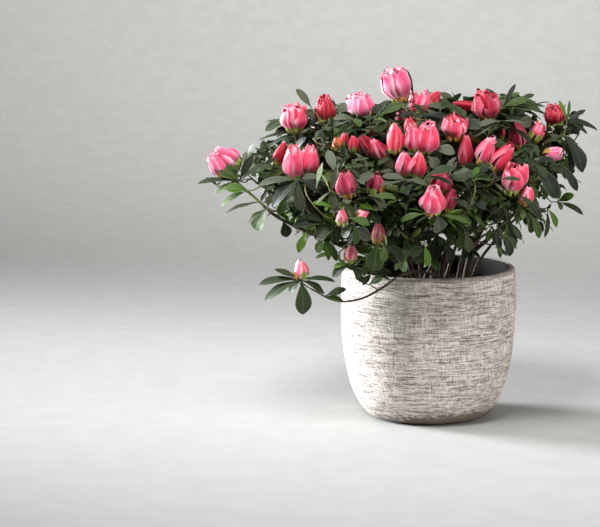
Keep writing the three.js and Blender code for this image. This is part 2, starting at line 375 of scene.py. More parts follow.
def buildClayStrokes():
    group, given = newGroup("clayStrokes", Cream=(0.8, 0.75, 0.7, 1), Taupe=(0.3, 0.25, 0.2, 1),
                            Scratch=(0.12, 0.09, 0.07, 1), Relief=0.5, Smooth=0.0)
    place = placeOn(group, "Object")
    lying = spread(group, strokesAlong(group, place, (34.0, 34.0, 800.0)), 0.34, 0.66)
    standing = spread(group, strokesAlong(group, place, (760.0, 760.0, 100.0)), 0.34, 0.66)
    grain = noiseAt(group, place, 1500.0, 3.0, 0.6)
    cloud = noiseAt(group, place, 34.0, 3.0, 0.5)
    patch = strokesAlong(group, place, (26.0, 26.0, 38.0), 2.0, 0.5)
    crossing = times(group, standing, spread(group, patch, 0.34, 0.66, 0.14, 0.44))
    weave = timesPlus(group, lying, 0.42, crossing)
    weave = timesPlus(group, given["Relief"], 0.20, weave)
    weave = timesPlus(group, grain, 0.34, weave)
    brushed = timesPlus(group, weave, 1.32, -0.47, clamp=True)
    keep = calc(group, "SUBTRACT", 1.0, given["Smooth"])
    evened = times(group, timesPlus(group, cloud, 0.25, -0.05), given["Smooth"])
    amount = calc(group, "ADD", times(group, brushed, keep), evened)
    color = mixColors(group, amount, given["Taupe"], given["Cream"])
    # plain wall turns towards the darker scratch colour: bare clay at the foot, in part painted shade
    bare = spread(group, given["Smooth"], 0.4, 1.0, 0.0, 0.42)
    color = mixColors(group, bare, color, given["Scratch"])
    # pale hairs of the wash on top, then darker lines dragged through it
    hairs = times(group, thinLines(group, place, (52.0, 52.0, 620.0), 0.06), 0.7)
    pale = calc(group, "MAXIMUM", thinLines(group, place, (30.0, 30.0, 330.0), 0.055), hairs)
    pale = times(group, times(group, pale, keep), 0.95)
    color = mixColors(group, pale, color, given["Cream"])
    moved = stretched(group, place, (1.0, -1.0, 1.0))
    some = spread(group, strokesAlong(group, place, (30.0, 30.0, 90.0), 2.0, 0.5), 0.46, 0.62)
    drag = times(group, thinLines(group, moved, (22.0, 22.0, 210.0), 0.035), some)
    upright = times(group, thinLines(group, moved, (260.0, 260.0, 60.0), 0.05), 0.5)
    line = times(group, calc(group, "MAXIMUM", drag, upright), keep)
    color = mixColors(group, times(group, line, 0.62), color, given["Scratch"])
    color = dimmed(group, color, timesPlus(group, cloud, 0.24, 0.88))
    height = timesPlus(group, line, -0.35, timesPlus(group, pale, 0.2, weave))
    height = times(group, height, timesPlus(group, keep, 0.85, 0.15))
    return endGroup(group, color, height, timesPlus(group, grain, 0.25, 0.66))


def buildSpeckle():
    group, given = newGroup("speckle", Base=(0.5, 0.5, 0.5, 1), Fleck=(0.3, 0.3, 0.3, 1), Scale=100.0,
                            Amount=0.2)
    place = placeOn(group, "Object")
    large = noiseAt(group, place, given["Scale"], 4.0, 0.6)
    small = noiseAt(group, place, times(group, given["Scale"], 7.0), 3.0, 0.6)
    mask = spread(group, timesPlus(group, small, 0.5, large), 0.6, 0.9)
    color = mixColors(group, times(group, mask, given["Amount"]), given["Base"], given["Fleck"])
    return endGroup(group, color, timesPlus(group, small, 0.4, large),
                    timesPlus(group, small, 0.25, 0.7))


leafVeins = buildLeafVeins()
petalSilk = buildPetalSilk()
barkRidges = buildBarkRidges()
clayStrokes = buildClayStrokes()
speckle = buildSpeckle()
print("node groups are built")


# meshes out of arrays

def newParts():
    return {"verts": [], "faces": [], "corners": [], "count": 0}


def addParts(parts, verts, faces, corners):
    # corners holds one UV pair for each corner of each face, in order
    verts = np.asarray(verts, float).reshape(-1, 3)
    parts["verts"].append(verts)
    parts["faces"].extend((np.asarray(face) + parts["count"]).tolist() for face in faces)
    parts["corners"].append(np.asarray(corners, float))
    parts["count"] += len(verts)


def shadeSmooth(mesh):
    mesh.polygons.foreach_set("use_smooth", [True] * len(mesh.polygons))
    mesh.update()


def makePiece(name, parts, material):
    mesh = bpy.data.meshes.new(name)
    mesh.from_pydata(np.concatenate(parts["verts"]).tolist(), [], parts["faces"])
    mesh.uv_layers.new(name="OFBake").data.foreach_set("uv", np.concatenate(parts["corners"]).ravel())
    shadeSmooth(mesh)
    piece = addObject(name, mesh)
    piece.data.materials.append(material)
    mesh.calc_loop_triangles()
    print(name, len(mesh.loop_triangles), "triangles")
    return piece


def settle(piece, slotName, *nodes):
    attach(piece, "root")
    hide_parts(*nodes)


def unit(vectors):
    return vectors / np.maximum(np.linalg.norm(vectors, axis=-1, keepdims=True), 1e-9)


def smoothNoise(seed, rows, columns):
    # an even field of chance, smooth between its cells and closed sideways
    table = np.random.default_rng(seed).random((rows + 3, columns))

    def ease(value):
        return value * value * (3 - 2 * value)

    def read(row, column):
        row = np.clip(row, 0, rows + 1)
        low = np.floor(row).astype(int)
        left = np.floor(column).astype(int)
        down = ease(row - low)
        right = ease(column - left)

        def between(line):
            return table[line, left % columns] * (1 - right) + table[line, (left + 1) % columns] * right

        return between(low) * (1 - down) + between(low + 1) * down
    return read


def latheFaces(rings, columns):
    faces = []
    corners = []
    for ring in range(rings - 1):
        start = ring * columns
        low = ring / (rings - 1)
        high = (ring + 1) / (rings - 1)
        for column in range(columns):
            after = (column + 1) % columns
            left = column / columns
            right = (column + 1) / columns
            faces.append((start + column, start + after, start + columns + after, start + columns + column))
            corners += [(left, low), (right, low), (right, high), (left, high)]
    return faces, corners


def turnedField(outline, columns):
    # a turned shape's angles, and the radius, height and share of a turn of all its points
    outline = np.array(outline)
    angles = np.arange(columns) / columns * fullTurn
    radius = np.repeat(outline[:, :1], columns, axis=1)
    height = np.repeat(outline[:, 1:], columns, axis=1)
    return angles, radius, height, np.repeat(angles[None, :], len(outline), axis=0) / fullTurn


def addTurned(parts, angles, radius, height, scale=millimetre):
    verts = np.stack([radius * np.cos(angles), radius * np.sin(angles), height], axis=2)
    addParts(parts, verts * scale, *latheFaces(*radius.shape))


def closeEnds(mesh):
    # rings of radius nought become single points
    shape = bmesh.new()
    shape.from_mesh(mesh)
    bmesh.ops.remove_doubles(shape, verts=shape.verts, dist=1e-6)
    shape.to_mesh(mesh)
    shape.free()
    shadeSmooth(mesh)


# floor: a pale round dish whose edge sweeps up all round, in metres

floor = {
    "flatRadius": 1.7,
    "sweep": 1.2,
    "sweepSteps": 12,
    "height": 3.2,
    "columns": 96,
    "color": tint(168, 168, 166),
    "fleck": tint(160, 160, 158),
}


def buildFloor():
    flat, sweep, steps = floor["flatRadius"], floor["sweep"], floor["sweepSteps"]
    outline = [(0.0, 0.0), (0.6, 0.0), (flat, 0.0)]
    for step in range(1, steps + 1):
        angle = step / steps * math.pi / 2
        outline.append((flat + sweep * math.sin(angle), sweep * (1 - math.cos(angle))))
    outline.append((flat + sweep, floor["height"]))
    angles, radius, height, _ = turnedField(outline, floor["columns"])
    material, tree, shader = newMaterial("paleFloor", {"Roughness": 0.8})
    found = useGroup(tree, speckle, Base=floor["color"], Fleck=floor["fleck"], Scale=30.0, Amount=0.6)
    dress(tree, shader, found, 0.15, 0.0004)
    parts = newParts()
    addTurned(parts, angles, radius, height, 1.0)
    piece = makePiece("floor", parts, material)
    closeEnds(piece.data)


buildFloor()


# pot, in millimetres

pot = {
    "height": 155.0,
    "footRadius": 54.0,
    "bellyRadius": 90.0,
    "bellyHeight": 118.0,
    "bellyFullness": 2.2,
    "rimRadius": 88.5,
    "wall": 6.5,
    "floor": 9.0,
    "floorBend": 17.0,
    "footEdge": 2.0,
    "columns": 300,
    "wallRings": 165,
    "rimSteps": 12,
    "lipRows": 8,        # rows over the lip that still show strokes
    # strength, seed, rows, columns, a row's height and drift: long lying, short lying, standing
    "strokes": [
        (0.52, 11, 110, 42, 1.45, 2.2),
        (0.30, 12, 150, 90, 1.05, 2.2),
        (0.24, 13, 16, 190, 9.5, 0),
    ],
    "relief": 0.42,
    "cream": tint(250, 241, 235),
    "taupe": tint(121, 108, 98),
    "scratch": tint(84, 72, 64),
    # painted shade: near black over the inside wall and the pot's floor, below the lip
    "inside": tint(12, 10, 8),
    # the plain foot band, darker than the wash: partly bare clay, partly painted shade near the floor
    "smoothHeight": 10.5,
    # painted light: on the lit side the wash reaches lower, so the foot shows lighter there
    "paintedLightSide": 3.6,
    "paintedLightReach": 13.0,
}


def potRadius(height):
    height = np.asarray(height, float)
    rise = (height - pot["bellyHeight"]) / (pot["height"] - pot["bellyHeight"])
    above = pot["bellyRadius"] - (pot["bellyRadius"] - pot["rimRadius"]) * rise ** 2
    share = np.clip(1 - height / pot["bellyHeight"], 0, 1)
    fullness = np.sqrt(np.clip(1 - share ** pot["bellyFullness"], 0, 1))
    below = pot["footRadius"] + (pot["bellyRadius"] - pot["footRadius"]) * fullness
    return np.where(height > pot["bellyHeight"], above, below)


def buildPot():
    rimTurn = pot["wall"] / 2
    wallTop = pot["height"] - rimTurn
    bend = pot["floorBend"]
    bendTop = pot["floor"] + bend
    outline = [(0.0, 0.4), (20.0, 0.3), (40.0, 0.1), (pot["footRadius"] - 8, 0.0),
               (pot["footRadius"] - 2.5, 0.0), (pot["footRadius"] - 0.6, 0.5)]
    wallFrom = len(outline)
    for height in np.linspace(pot["footEdge"], wallTop, pot["wallRings"]):
        outline.append((float(potRadius(height)), height))
    wallTo = len(outline)
    for step in range(1, pot["rimSteps"]):
        angle = step / pot["rimSteps"] * math.pi
        outline.append((float(potRadius(wallTop)) - rimTurn + rimTurn * math.cos(angle),
                        wallTop + rimTurn * math.sin(angle)))
    for height in np.linspace(wallTop, bendTop, 30):
        outline.append((float(potRadius(height)) - pot["wall"], height))
    inner = outline[-1][0]
    for step in range(1, 6):
        angle = step / 5 * math.pi / 2
        outline.append((inner - bend * math.sin(angle) * 0.9, bendTop - bend * (1 - math.cos(angle))))
    outline += [(30.0, pot["floor"]), (0.0, pot["floor"])]
    angles, radius, height, turn = turnedField(outline, pot["columns"])
    rowHeight = height[:, 0]

    # strokes of the brush, on a slightly uneven wall
    uneven = smoothNoise(14, 9, 7)(height / 17, turn * 7)
    strokes = 0
    for share, seed, lines, across, tall, drift in pot["strokes"]:
        field = smoothNoise(seed, lines, across)
        strokes = strokes + share * field(height / tall + uneven * drift, turn * across)
    strokes = np.clip((strokes - 0.30) / 0.46, 0, 1)
    rows = np.arange(len(outline))
    paintedShadeFrom = wallTo + pot["lipRows"]
    onWall = ((rows >= wallFrom) & (rows < wallTo)).astype(float)
    overLip = ((rows >= wallTo) & (rows < paintedShadeFrom)) * 0.35
    ragged = (smoothNoise(15, 12, 150)(height / 1.6, turn * 150) - 0.5) * 9
    # the wash runs down to the foot on one side, the lit side: painted light that makes the foot lighter
    # where the lamp falls
    washed = np.clip(np.cos(angles - pot["paintedLightSide"]), 0, 1) ** 3 * pot["paintedLightReach"]
    # the strokes fade into the plain, darker foot band: bare clay in part, painted shade in part
    footFade = np.clip((height + ragged + washed - pot["smoothHeight"]) / 9, 0, 1)
    nearLip = np.clip((wallTop - rowHeight) / 1.5, 0.35, 1)
    strength = (onWall * nearLip + overLip)[:, None] * footFade
    bandFade = (onWall * np.clip(rowHeight / 8, 0, 1)
                * np.clip((wallTop - rowHeight) / 4, 0, 1))[:, None]
    radius = radius + strength * (strokes - 0.62) * pot["relief"]
    radius = radius + bandFade * (uneven - 0.5) * 0.7
    # painted shade on the rows from a few under the lip down to the pot's floor
    inside = np.repeat((rows >= paintedShadeFrom).astype(float)[:, None], pot["columns"], axis=1)
    parts = newParts()
    addTurned(parts, angles, np.maximum(radius, 0.0), height)

    material, tree, shader = newMaterial("whitewashedClay", {"Specular IOR Level": 0.12})
    masks = {"strokes": strokes * strength, "plainWall": 1 - strength, "inside": inside}
    relief, smooth, shade = (addNode(tree, "ShaderNodeAttribute", attribute_name=name).outputs["Fac"]
                             for name in masks)
    found = useGroup(tree, clayStrokes, Cream=pot["cream"], Taupe=pot["taupe"],
                     Scratch=pot["scratch"], Relief=relief, Smooth=smooth)
    # the inside mask mixes in the near-black colour, painted shade
    dress(tree, shader, found, 0.85, 0.0011, mixColors(tree, shade, found["Color"], pot["inside"]))
    piece = makePiece("planter", parts, material)
    for name, mask in masks.items():
        layer = piece.data.attributes.new(name, "FLOAT", "POINT")
        layer.data.foreach_set("value", np.ascontiguousarray(mask).ravel())
    closeEnds(piece.data)
    settle(piece, "whitewashed_ceramic", "pot")
    print("pot is built")


buildPot()


# soil, in millimetres

soil = {
    "level": 135.0,
    "rings": 46,
    "columns": 150,
    "lumps": 1.1,
    "crumbs": 420,
    "crumbSize": (0.7, 2.3),
    "seed": 31,
    "dark": tint(34, 27, 23),
    "light": tint(74, 58, 46),
}


def buildSoil():
    random = np.random.default_rng(soil["seed"])
    edge = float(potRadius(soil["level"])) - pot["wall"] - 0.4
    low = float(potRadius(30)) - pot["wall"] - 0.6
    outline = [(0.0, 12.0), (40.0, 12.0), (low - 8, 20.0), (low, 32.0)]
    for height in (60.0, 90.0, 118.0):
        outline.append((float(potRadius(height)) - pot["wall"] - 0.5, height))
    sideRings = len(outline)
    for step in range(soil["rings"]):
        outline.append((edge * math.cos(step / (soil["rings"] - 1) * math.pi / 2), soil["level"]))
    angles, radius, height, turn = turnedField(outline, soil["columns"])
    bumps = ((smoothNoise(32, 14, 22)(radius / 7, turn * 22) - 0.5) * 1.4
             + (smoothNoise(33, 46, 96)(radius / 2, turn * 96) - 0.5))
    onTop = (np.arange(len(outline)) >= sideRings + 1)[:, None]
    parts = newParts()
    addTurned(parts, angles, radius, height + onTop * np.clip(radius / 6, 0, 1) * bumps * soil["lumps"])

    # crumbs: small uneven eight-sided lumps that sit half in the soil
    corner = np.array([(1, 0, 0), (0, 1, 0), (-1, 0, 0), (0, -1, 0), (0, 0, 1), (0, 0, -1)], float)
    eight = [(0, 1, 4), (1, 2, 4), (2, 3, 4), (3, 0, 4), (1, 0, 5), (2, 1, 5), (3, 2, 5), (0, 3, 5)]
    for _ in range(soil["crumbs"]):
        away = edge * 0.96 * math.sqrt(random.random())
        angle = random.random() * fullTurn
        size = random.uniform(*soil["crumbSize"])
        place = np.array([away * math.cos(angle), away * math.sin(angle), soil["level"] + 0.2])
        stretch = random.uniform(0.6, 1.3, (6, 1)) * size
        addParts(parts, (corner * stretch * (1, 1, 0.7) + place) * millimetre, eight,
                 random.uniform(0.2, 0.8, (24, 2)))
    material, tree, shader = newMaterial("dampPeat", {"Specular IOR Level": 0.3})
    found = useGroup(tree, speckle, Base=soil["dark"], Fleck=soil["light"], Scale=260.0, Amount=0.8)
    dress(tree, shader, found, 0.8, 0.0012)
    piece = makePiece("peat", parts, material)
    closeEnds(piece.data)
    settle(piece, "potting_soil", "root_ball")
    print("soil is built")


buildSoil()


# stems and boughs, in millimetres

limbs = {
    "foot": 131.0,       # the height at which stems start, just under the soil
    "sides": 14,
    "step": 2.2,
    "flareReach": 0.12,
    "ridge": 0.10,
    "knots": 0.16,
    "seeds": (50, 80, 110),    # of knots, ridges and flakes; each limb adds its own number
    "bark": tint(78, 57, 44),
    "barkDark": tint(32, 24, 19),
    "lichen": tint(96, 92, 66),
    "greenShoot": tint(96, 112, 48),
    "greenFrom": (-0.178, -0.162),
}
# foot, head, radius at each, and how much the foot flares
stemData = {
    "main_stem": ((38, 4), (56, 8, 198), (4.4, 3.4), 2),
    "left_stem": ((-12, -12), (-38, -20, 186), (3.4, 2.7), 1.6),
    "front_stem": ((10, -26), (18, -44, 190), (3, 2.4), 1.4),
    "back_stem": ((8, 24), (-4, 44, 200), (3.4, 2.8), 1.6),
}
# the stem, how far up it the bough starts, the mass that it enters, and its radius at each end
boughData = {
    "bough_right": ("main_stem", 0.97, "foliage_edge_1", (3, 1.9)),
    "bough_right_low": ("main_stem", 0.5, "foliage_low_1", (2.4, 1.7)),
    "bough_right_back": ("main_stem", 0.86, "foliage_edge_2", (2.5, 1.7)),
    "bough_right_front": ("main_stem", 0.72, "foliage_edge_9", (2.5, 1.7)),
    "bough_right_top": ("main_stem", 1.0, "foliage_upper_1", (2.8, 1.8)),
    "bough_left_top": ("left_stem", 1.0, "foliage_upper_3", (2.4, 1.8)),
    "bough_left_front": ("left_stem", 0.8, "foliage_low_5", (2, 1.6)),
    "bough_front": ("front_stem", 1.0, "foliage_edge_8", (2.2, 1.6)),
    "bough_back": ("back_stem", 0.97, "foliage_edge_3", (2.5, 1.7)),
    "bough_back_left": ("back_stem", 0.75, "foliage_edge_4", (2.2, 1.6)),
    "bough_top": ("back_stem", 1.0, "foliage_top", (2.6, 1.8)),
}
# the limb that it leaves, radius at each end, flare and route; the thin ones rise from the soil
routes = {
    "bough_left_long": ("left_stem", (2.5, 1.1), 0, [
        (-32, -18, 168), (-60, -48, 178), (-89, -68, 185), (-150, -64, 211), (-176, -50, 230),
        (-198, -33, 247)]),
    "bough_droop_inner": ("front_stem", (1.7, 1.25), 0, [
        (11, -28, 147), (-8, -56, 157), (-24, -82, 160.5), (-36, -91, 158)]),
    "bough_droop_outer": ("bough_droop_inner", (1.25, 0.8), 0, [
        (-36.9, -91.5, 157.6), (-52, -96, 147), (-74, -96, 136), (-98, -90, 134), (-124, -84, 146)]),
    "thin_front": (None, (1.7, 1.2), 0.8, [(-10, -30, 131), (-5, -36, 150), (8, -42, 172), (20, -50, 196)]),
    "thin_left": (None, (1.5, 1.1), 0.8, [
        (-20, -28, 131), (-22, -36, 150), (-31, -46, 172), (-46, -58, 192)]),
    "thin_middle": (None, (1.9, 1.4), 0.8, [
        (-5, -20, 131), (-10, -26, 155), (-12, -34, 190), (-18, -40, 222)]),
    "thin_right": (None, (1.7, 1.2), 0.8, [(44, 14, 131), (53, 18, 155), (72, 24, 180), (96, 30, 204)]),
    "thin_inner": (None, (2.0, 1.4), 0.8, [(28, -10, 131), (32, -14, 158), (38, -24, 190), (48, -34, 226)]),
    "thin_back": (None, (2.0, 1.4), 0.8, [(18, 26, 131), (27, 34, 160), (38, 46, 190), (44, 62, 216)]),
}


def curveThrough(points, step):
    # an even walk along a smooth curve through the points
    points = np.array(points, float)
    ends = np.vstack([2 * points[0] - points[1], points, 2 * points[-1] - points[-2]])
    fine = []
    for index in range(len(points) - 1):
        a, b, c, d = ends[index:index + 4]
        for t in np.linspace(0, 1, 24, endpoint=False):
            fine.append(0.5 * (2 * b + (c - a) * t + (2 * a - 5 * b + 4 * c - d) * t ** 2
                               + (3 * b - a - 3 * c + d) * t ** 3))
    fine.append(points[-1])
    fine = np.array(fine)
    length = np.concatenate([[0], np.cumsum(np.linalg.norm(np.diff(fine, axis=0), axis=1))])
    even = np.linspace(0, length[-1], max(3, int(length[-1] / step) + 1))
    return np.stack([np.interp(even, length, fine[:, axis]) for axis in range(3)], axis=1)


def addTube(parts, path, radii, placed, capPlace, closedStart):
    # placed lays out the side's corners in the map; side directions turn as little as possible
    rings, count = radii.shape
    heading = unit(np.gradient(path, axis=0))
    first = np.cross(heading[0], (0.0, 0.0, 1.0))
    if np.linalg.norm(first) < 0.2:
        first = np.cross(heading[0], (1.0, 0.0, 0.0))
    sides = [unit(first)]
    for direction in heading[1:]:
        sides.append(unit(sides[-1] - direction * np.dot(sides[-1], direction)))
    sides = np.array(sides)
    others = np.cross(heading, sides)
    angles = np.arange(count) / count * fullTurn
    ring = (sides[:, None, :] * np.cos(angles)[None, :, None]
            + others[:, None, :] * np.sin(angles)[None, :, None])
    faces, corners = latheFaces(rings, count)
    if closedStart:
        faces.append(range(count)[::-1])
    faces.append(range((rings - 1) * count, rings * count))
    capCorners = np.full(((1 + closedStart) * count, 2), capPlace)
    addParts(parts, path[:, None, :] + ring * radii[..., None], faces,
             np.vstack([placed(np.array(corners)), capCorners]))


def limbPaths():
    paths = {}

    def addLimb(name, points, radii, flare, parent):
        path = curveThrough(points, limbs["step"])
        share = np.linspace(0, 1, len(path))
        radius = radii[0] + (radii[1] - radii[0]) * share + flare * np.exp(-share / limbs["flareReach"])
        paths[name] = {"path": path, "radius": radius, "parent": parent}

    for name, (foot, head, radii, flare) in stemData.items():
        foot = np.array([*foot, limbs["foot"]])
        head = np.array(head, float)
        bend = foot + 0.35 * (head - foot)
        bend[2] = soil["level"] + 0.5 * (head[2] - soil["level"])
        addLimb(name, [foot, bend, head], radii, flare, None)
    for name, (stem, startShare, mass, radii) in boughData.items():
        stemPath = paths[stem]["path"]
        start = stemPath[int(round(startShare * (len(stemPath) - 1)))]
        low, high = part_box(mass)
        end = np.array([(low[axis] + high[axis]) / 2 for axis in range(3)]) / millimetre
        middle = (start + end) / 2 - (0, 0, 0.02 * np.linalg.norm(end - start))
        addLimb(name, [start, middle, end], radii, 0, stem)
    for name, (parent, radii, flare, route) in routes.items():
        addLimb(name, route, radii, flare, parent)
    for limb in paths.values():
        limb["path"] = limb["path"] * millimetre
        limb["radius"] = limb["radius"] * millimetre
    return paths


limbPath = limbPaths()


def buildLimbs():
    parts = newParts()
    count = limbs["sides"]
    knotSeed, ridgeSeed, flakeSeed = limbs["seeds"]
    for index, limb in enumerate(limbPath.values()):
        rings = len(limb["path"])
        random = np.random.default_rng(knotSeed + index)
        row, column = np.indices((rings, count)).astype(float)
        ridges = smoothNoise(ridgeSeed + index, rings // 5 + 4, count)(row / 5, column)
        flakes = smoothNoise(flakeSeed + index, rings + 4, count)(row, column)
        relief = (ridges - 0.5) * 2 * limbs["ridge"] + (flakes - 0.5) * limbs["ridge"]
        # knots where old twigs broke away
        for _ in range(max(1, rings // 14)):
            at = random.uniform(2, rings - 2)
            around = random.uniform(0, count)
            gap = np.abs((column - around + count / 2) % count - count / 2)
            relief = relief + limbs["knots"] * np.exp(-((row - at) / 1.3) ** 2 - (gap / 1.6) ** 2)
        radii = np.repeat(limb["radius"][:, None], count, axis=1) * (1 + relief)
        # the end is rounded off
        radii[-2] *= 0.8
        radii[-1] *= 0.35

        def placed(corners):
            # each limb has its own strip of the map
            across = (index + 0.04 + 0.92 * corners[:, 0]) / len(limbPath)
            return np.stack([across, 0.02 + 0.96 * corners[:, 1]], axis=1)

        addTube(parts, limb["path"], radii, placed, 0.005, True)
    material, tree, shader = newMaterial("oldBark", {"Specular IOR Level": 0.3})
    found = useGroup(tree, barkRidges, Dark=limbs["barkDark"], Light=limbs["bark"],
                     Moss=limbs["lichen"], Around=110.0, Along=34.0, Green=0.45)
    # the long left bough is still green at its end
    place = addNode(tree, "ShaderNodeSeparateXYZ", {0: placeOn(tree, "Object")})
    green = spread(tree, place.outputs["X"], *limbs["greenFrom"], 0.85, 0.0)
    dress(tree, shader, found, 0.7, 0.0006, mixColors(tree, green, found["Color"], limbs["greenShoot"]))
    piece = makePiece("bark_limbs", parts, material)
    settle(piece, "bark", *(name for name in limbPath if name in frame["nodes"]))
    print("limbs are built")


buildLimbs()


# what grows where: blooms and striking leaves that the front shows, then seeded shoots all round

crown = {
    "centre": (-0.020, 0.0, 0.245),
    "reach": (0.19, 0.15, 0.10),
    "outer": {"spacing": 0.0160, "inset": (0.010, 0.022), "climb": 0.45, "size": (0.8, 1.05)},
    "inner": {"spacing": 0.0150, "inset": (0.026, 0.060), "climb": 0.6, "size": (0.6, 0.85)},
    "tries": 20000,
    "lowest": 0.14,
    "innerLowest": 0.178,
    "overPot": (0.166, 0.10),          # below this height no outer shoot comes nearer to the pot's axis
    "besideDroop": (0.178, -0.085),    # below this height none ends further left
    "droopBlooms": (0.17, -0.09),      # blooms below this height and further left grow on the droop
    "facing": -0.75,                   # no outer shoots where the crown faces further down
    "shownInFront": 0.004,
    "underSkyline": 9,       # in pixels
    "sparse": (256, 572),    # left and right of these pixels few shoots grow, past the ends none
    "ends": (204, 582),
    "thinned": 0.94,
    "seed": 7,
}
bloomFace = {
    "behind": 5,             # millimetres behind the crown's face
    "slimmer": 0.95,
    "leanInDepth": 0.42,
    "clearInFront": 0.09,    # no leaf grows this close before a bloom
}
# centre in the photograph's frame, width and length there, degrees to the right of upright, tone
# and kind; back: millimetres behind the crown's face; depth: millimetres behind the pot's axis;
# outer: the outer petals' tone; past: pixels that the twig passes
blooms = [
    (397, 85, 29, 35, -14, "pale", "full", {}),
    (415, 103, 15, 22, -2, "pink", "cup", {}),
    (424, 102, 15, 24, 8, "pink", "cup", {"back": 2}),
    (434, 99, 14, 20, 38, "red", "bud", {"back": 12}),
    (361, 108, 27, 30, -14, "pale", "full", {}),
    (325, 110, 22, 29, -6, "red", "ruffled", {}),
    (294, 118, 28, 28, -4, "coral", "full", {"outer": "pink"}),
    (227, 157, 21, 28, -56, "pale", "cup", {}),
    (217, 165, 16, 24, -34, "pale", "cup", {"back": -3}),
    (294, 162, 23, 34, -3, "pink", "cup", {}),
    (309, 159, 22, 29, 8, "pink", "cup", {"back": 3, "past": [(332, 219), (318, 210), (306, 193)]}),
    (280, 154, 12, 25, 22, "red", "bud", {"back": 10}),
    (371, 147, 15, 33, -48, "coral", "bud", {}),
    (379, 149, 15, 27, -34, "pink", "bud", {"back": -2}),
    (395, 138, 17, 29, 0, "coral", "bud", {}),
    (413, 137, 17, 28, -6, "pink", "cup", {"back": 3}),
    (427, 137, 26, 31, 5, "pink", "cup", {}),
    (410, 126, 13, 18, -12, "red", "bud", {"back": 16}),
    (455, 127, 25, 25, 0, "coral", "open", {"outer": "pink"}),
    (404, 164, 17, 28, -3, "pink", "bud", {}),
    (418, 164, 17, 26, 4, "coral", "bud", {}),
    (466, 152, 15, 35, 0, "coral", "bud", {"past": [(461, 217), (472, 202), (475, 184)]}),
    (488, 151, 20, 32, 18, "pink", "twin", {}),
    (503, 157, 18, 32, 32, "coral", "twin", {}),
    (513, 179, 23, 30, 2, "coral", "open", {"back": 2, "outer": "pink"}),
    (523, 175, 12, 24, 12, "pink", "bud", {}),
    (527, 195, 13, 19, 12, "pink", "bud", {}),
    (486, 106, 29, 30, -8, "red", "ruffled", {"outer": "shade"}),
    (464, 106, 12, 24, -78, "red", "bud", {"back": 8}),
    (554, 116, 21, 23, -6, "red", "ruffled", {}),
    (517, 135, 17, 28, -12, "shade", "twin", {}),
    (537, 132, 16, 19, 30, "pink", "open", {"back": 6}),
    (553, 154, 13, 20, 80, "pale", "open", {}),
    (502, 133, 6, 12, 10, "red", "bud", {"back": 6}),
    (346, 184, 20, 26, -14, "shade", "twin", {"back": 8}),
    (376, 183, 17, 19, 0, "shade", "twin", {"back": 8}),
    (441, 180, 23, 20, 10, "shade", "cup", {"back": 12}),
    (433, 200, 25, 28, 0, "pink", "cup", {}),
    (450, 199, 13, 23, 8, "shade", "bud", {"back": 12}),
    (401, 117, 14, 14, -20, "pink", "bud", {"back": 12}),
    (337, 143, 9, 13, 0, "orange", "bud", {}),
    (344, 139, 8, 14, 10, "coral", "bud", {"back": 4}),
    (354, 144, 10, 18, -8, "coral", "bud", {}),
    (342, 216, 11, 17, 0, "blush", "point", {}),
    (363, 214, 11, 12, 60, "blush", "point", {}),
    (378, 231, 13, 24, 0, "blush", "point", {}),
    (351, 253, 13, 18, 6, "blush", "bud", {}),
    (301, 269, 15, 18, -4, "blush", "bud", {"depth": -84}),
]
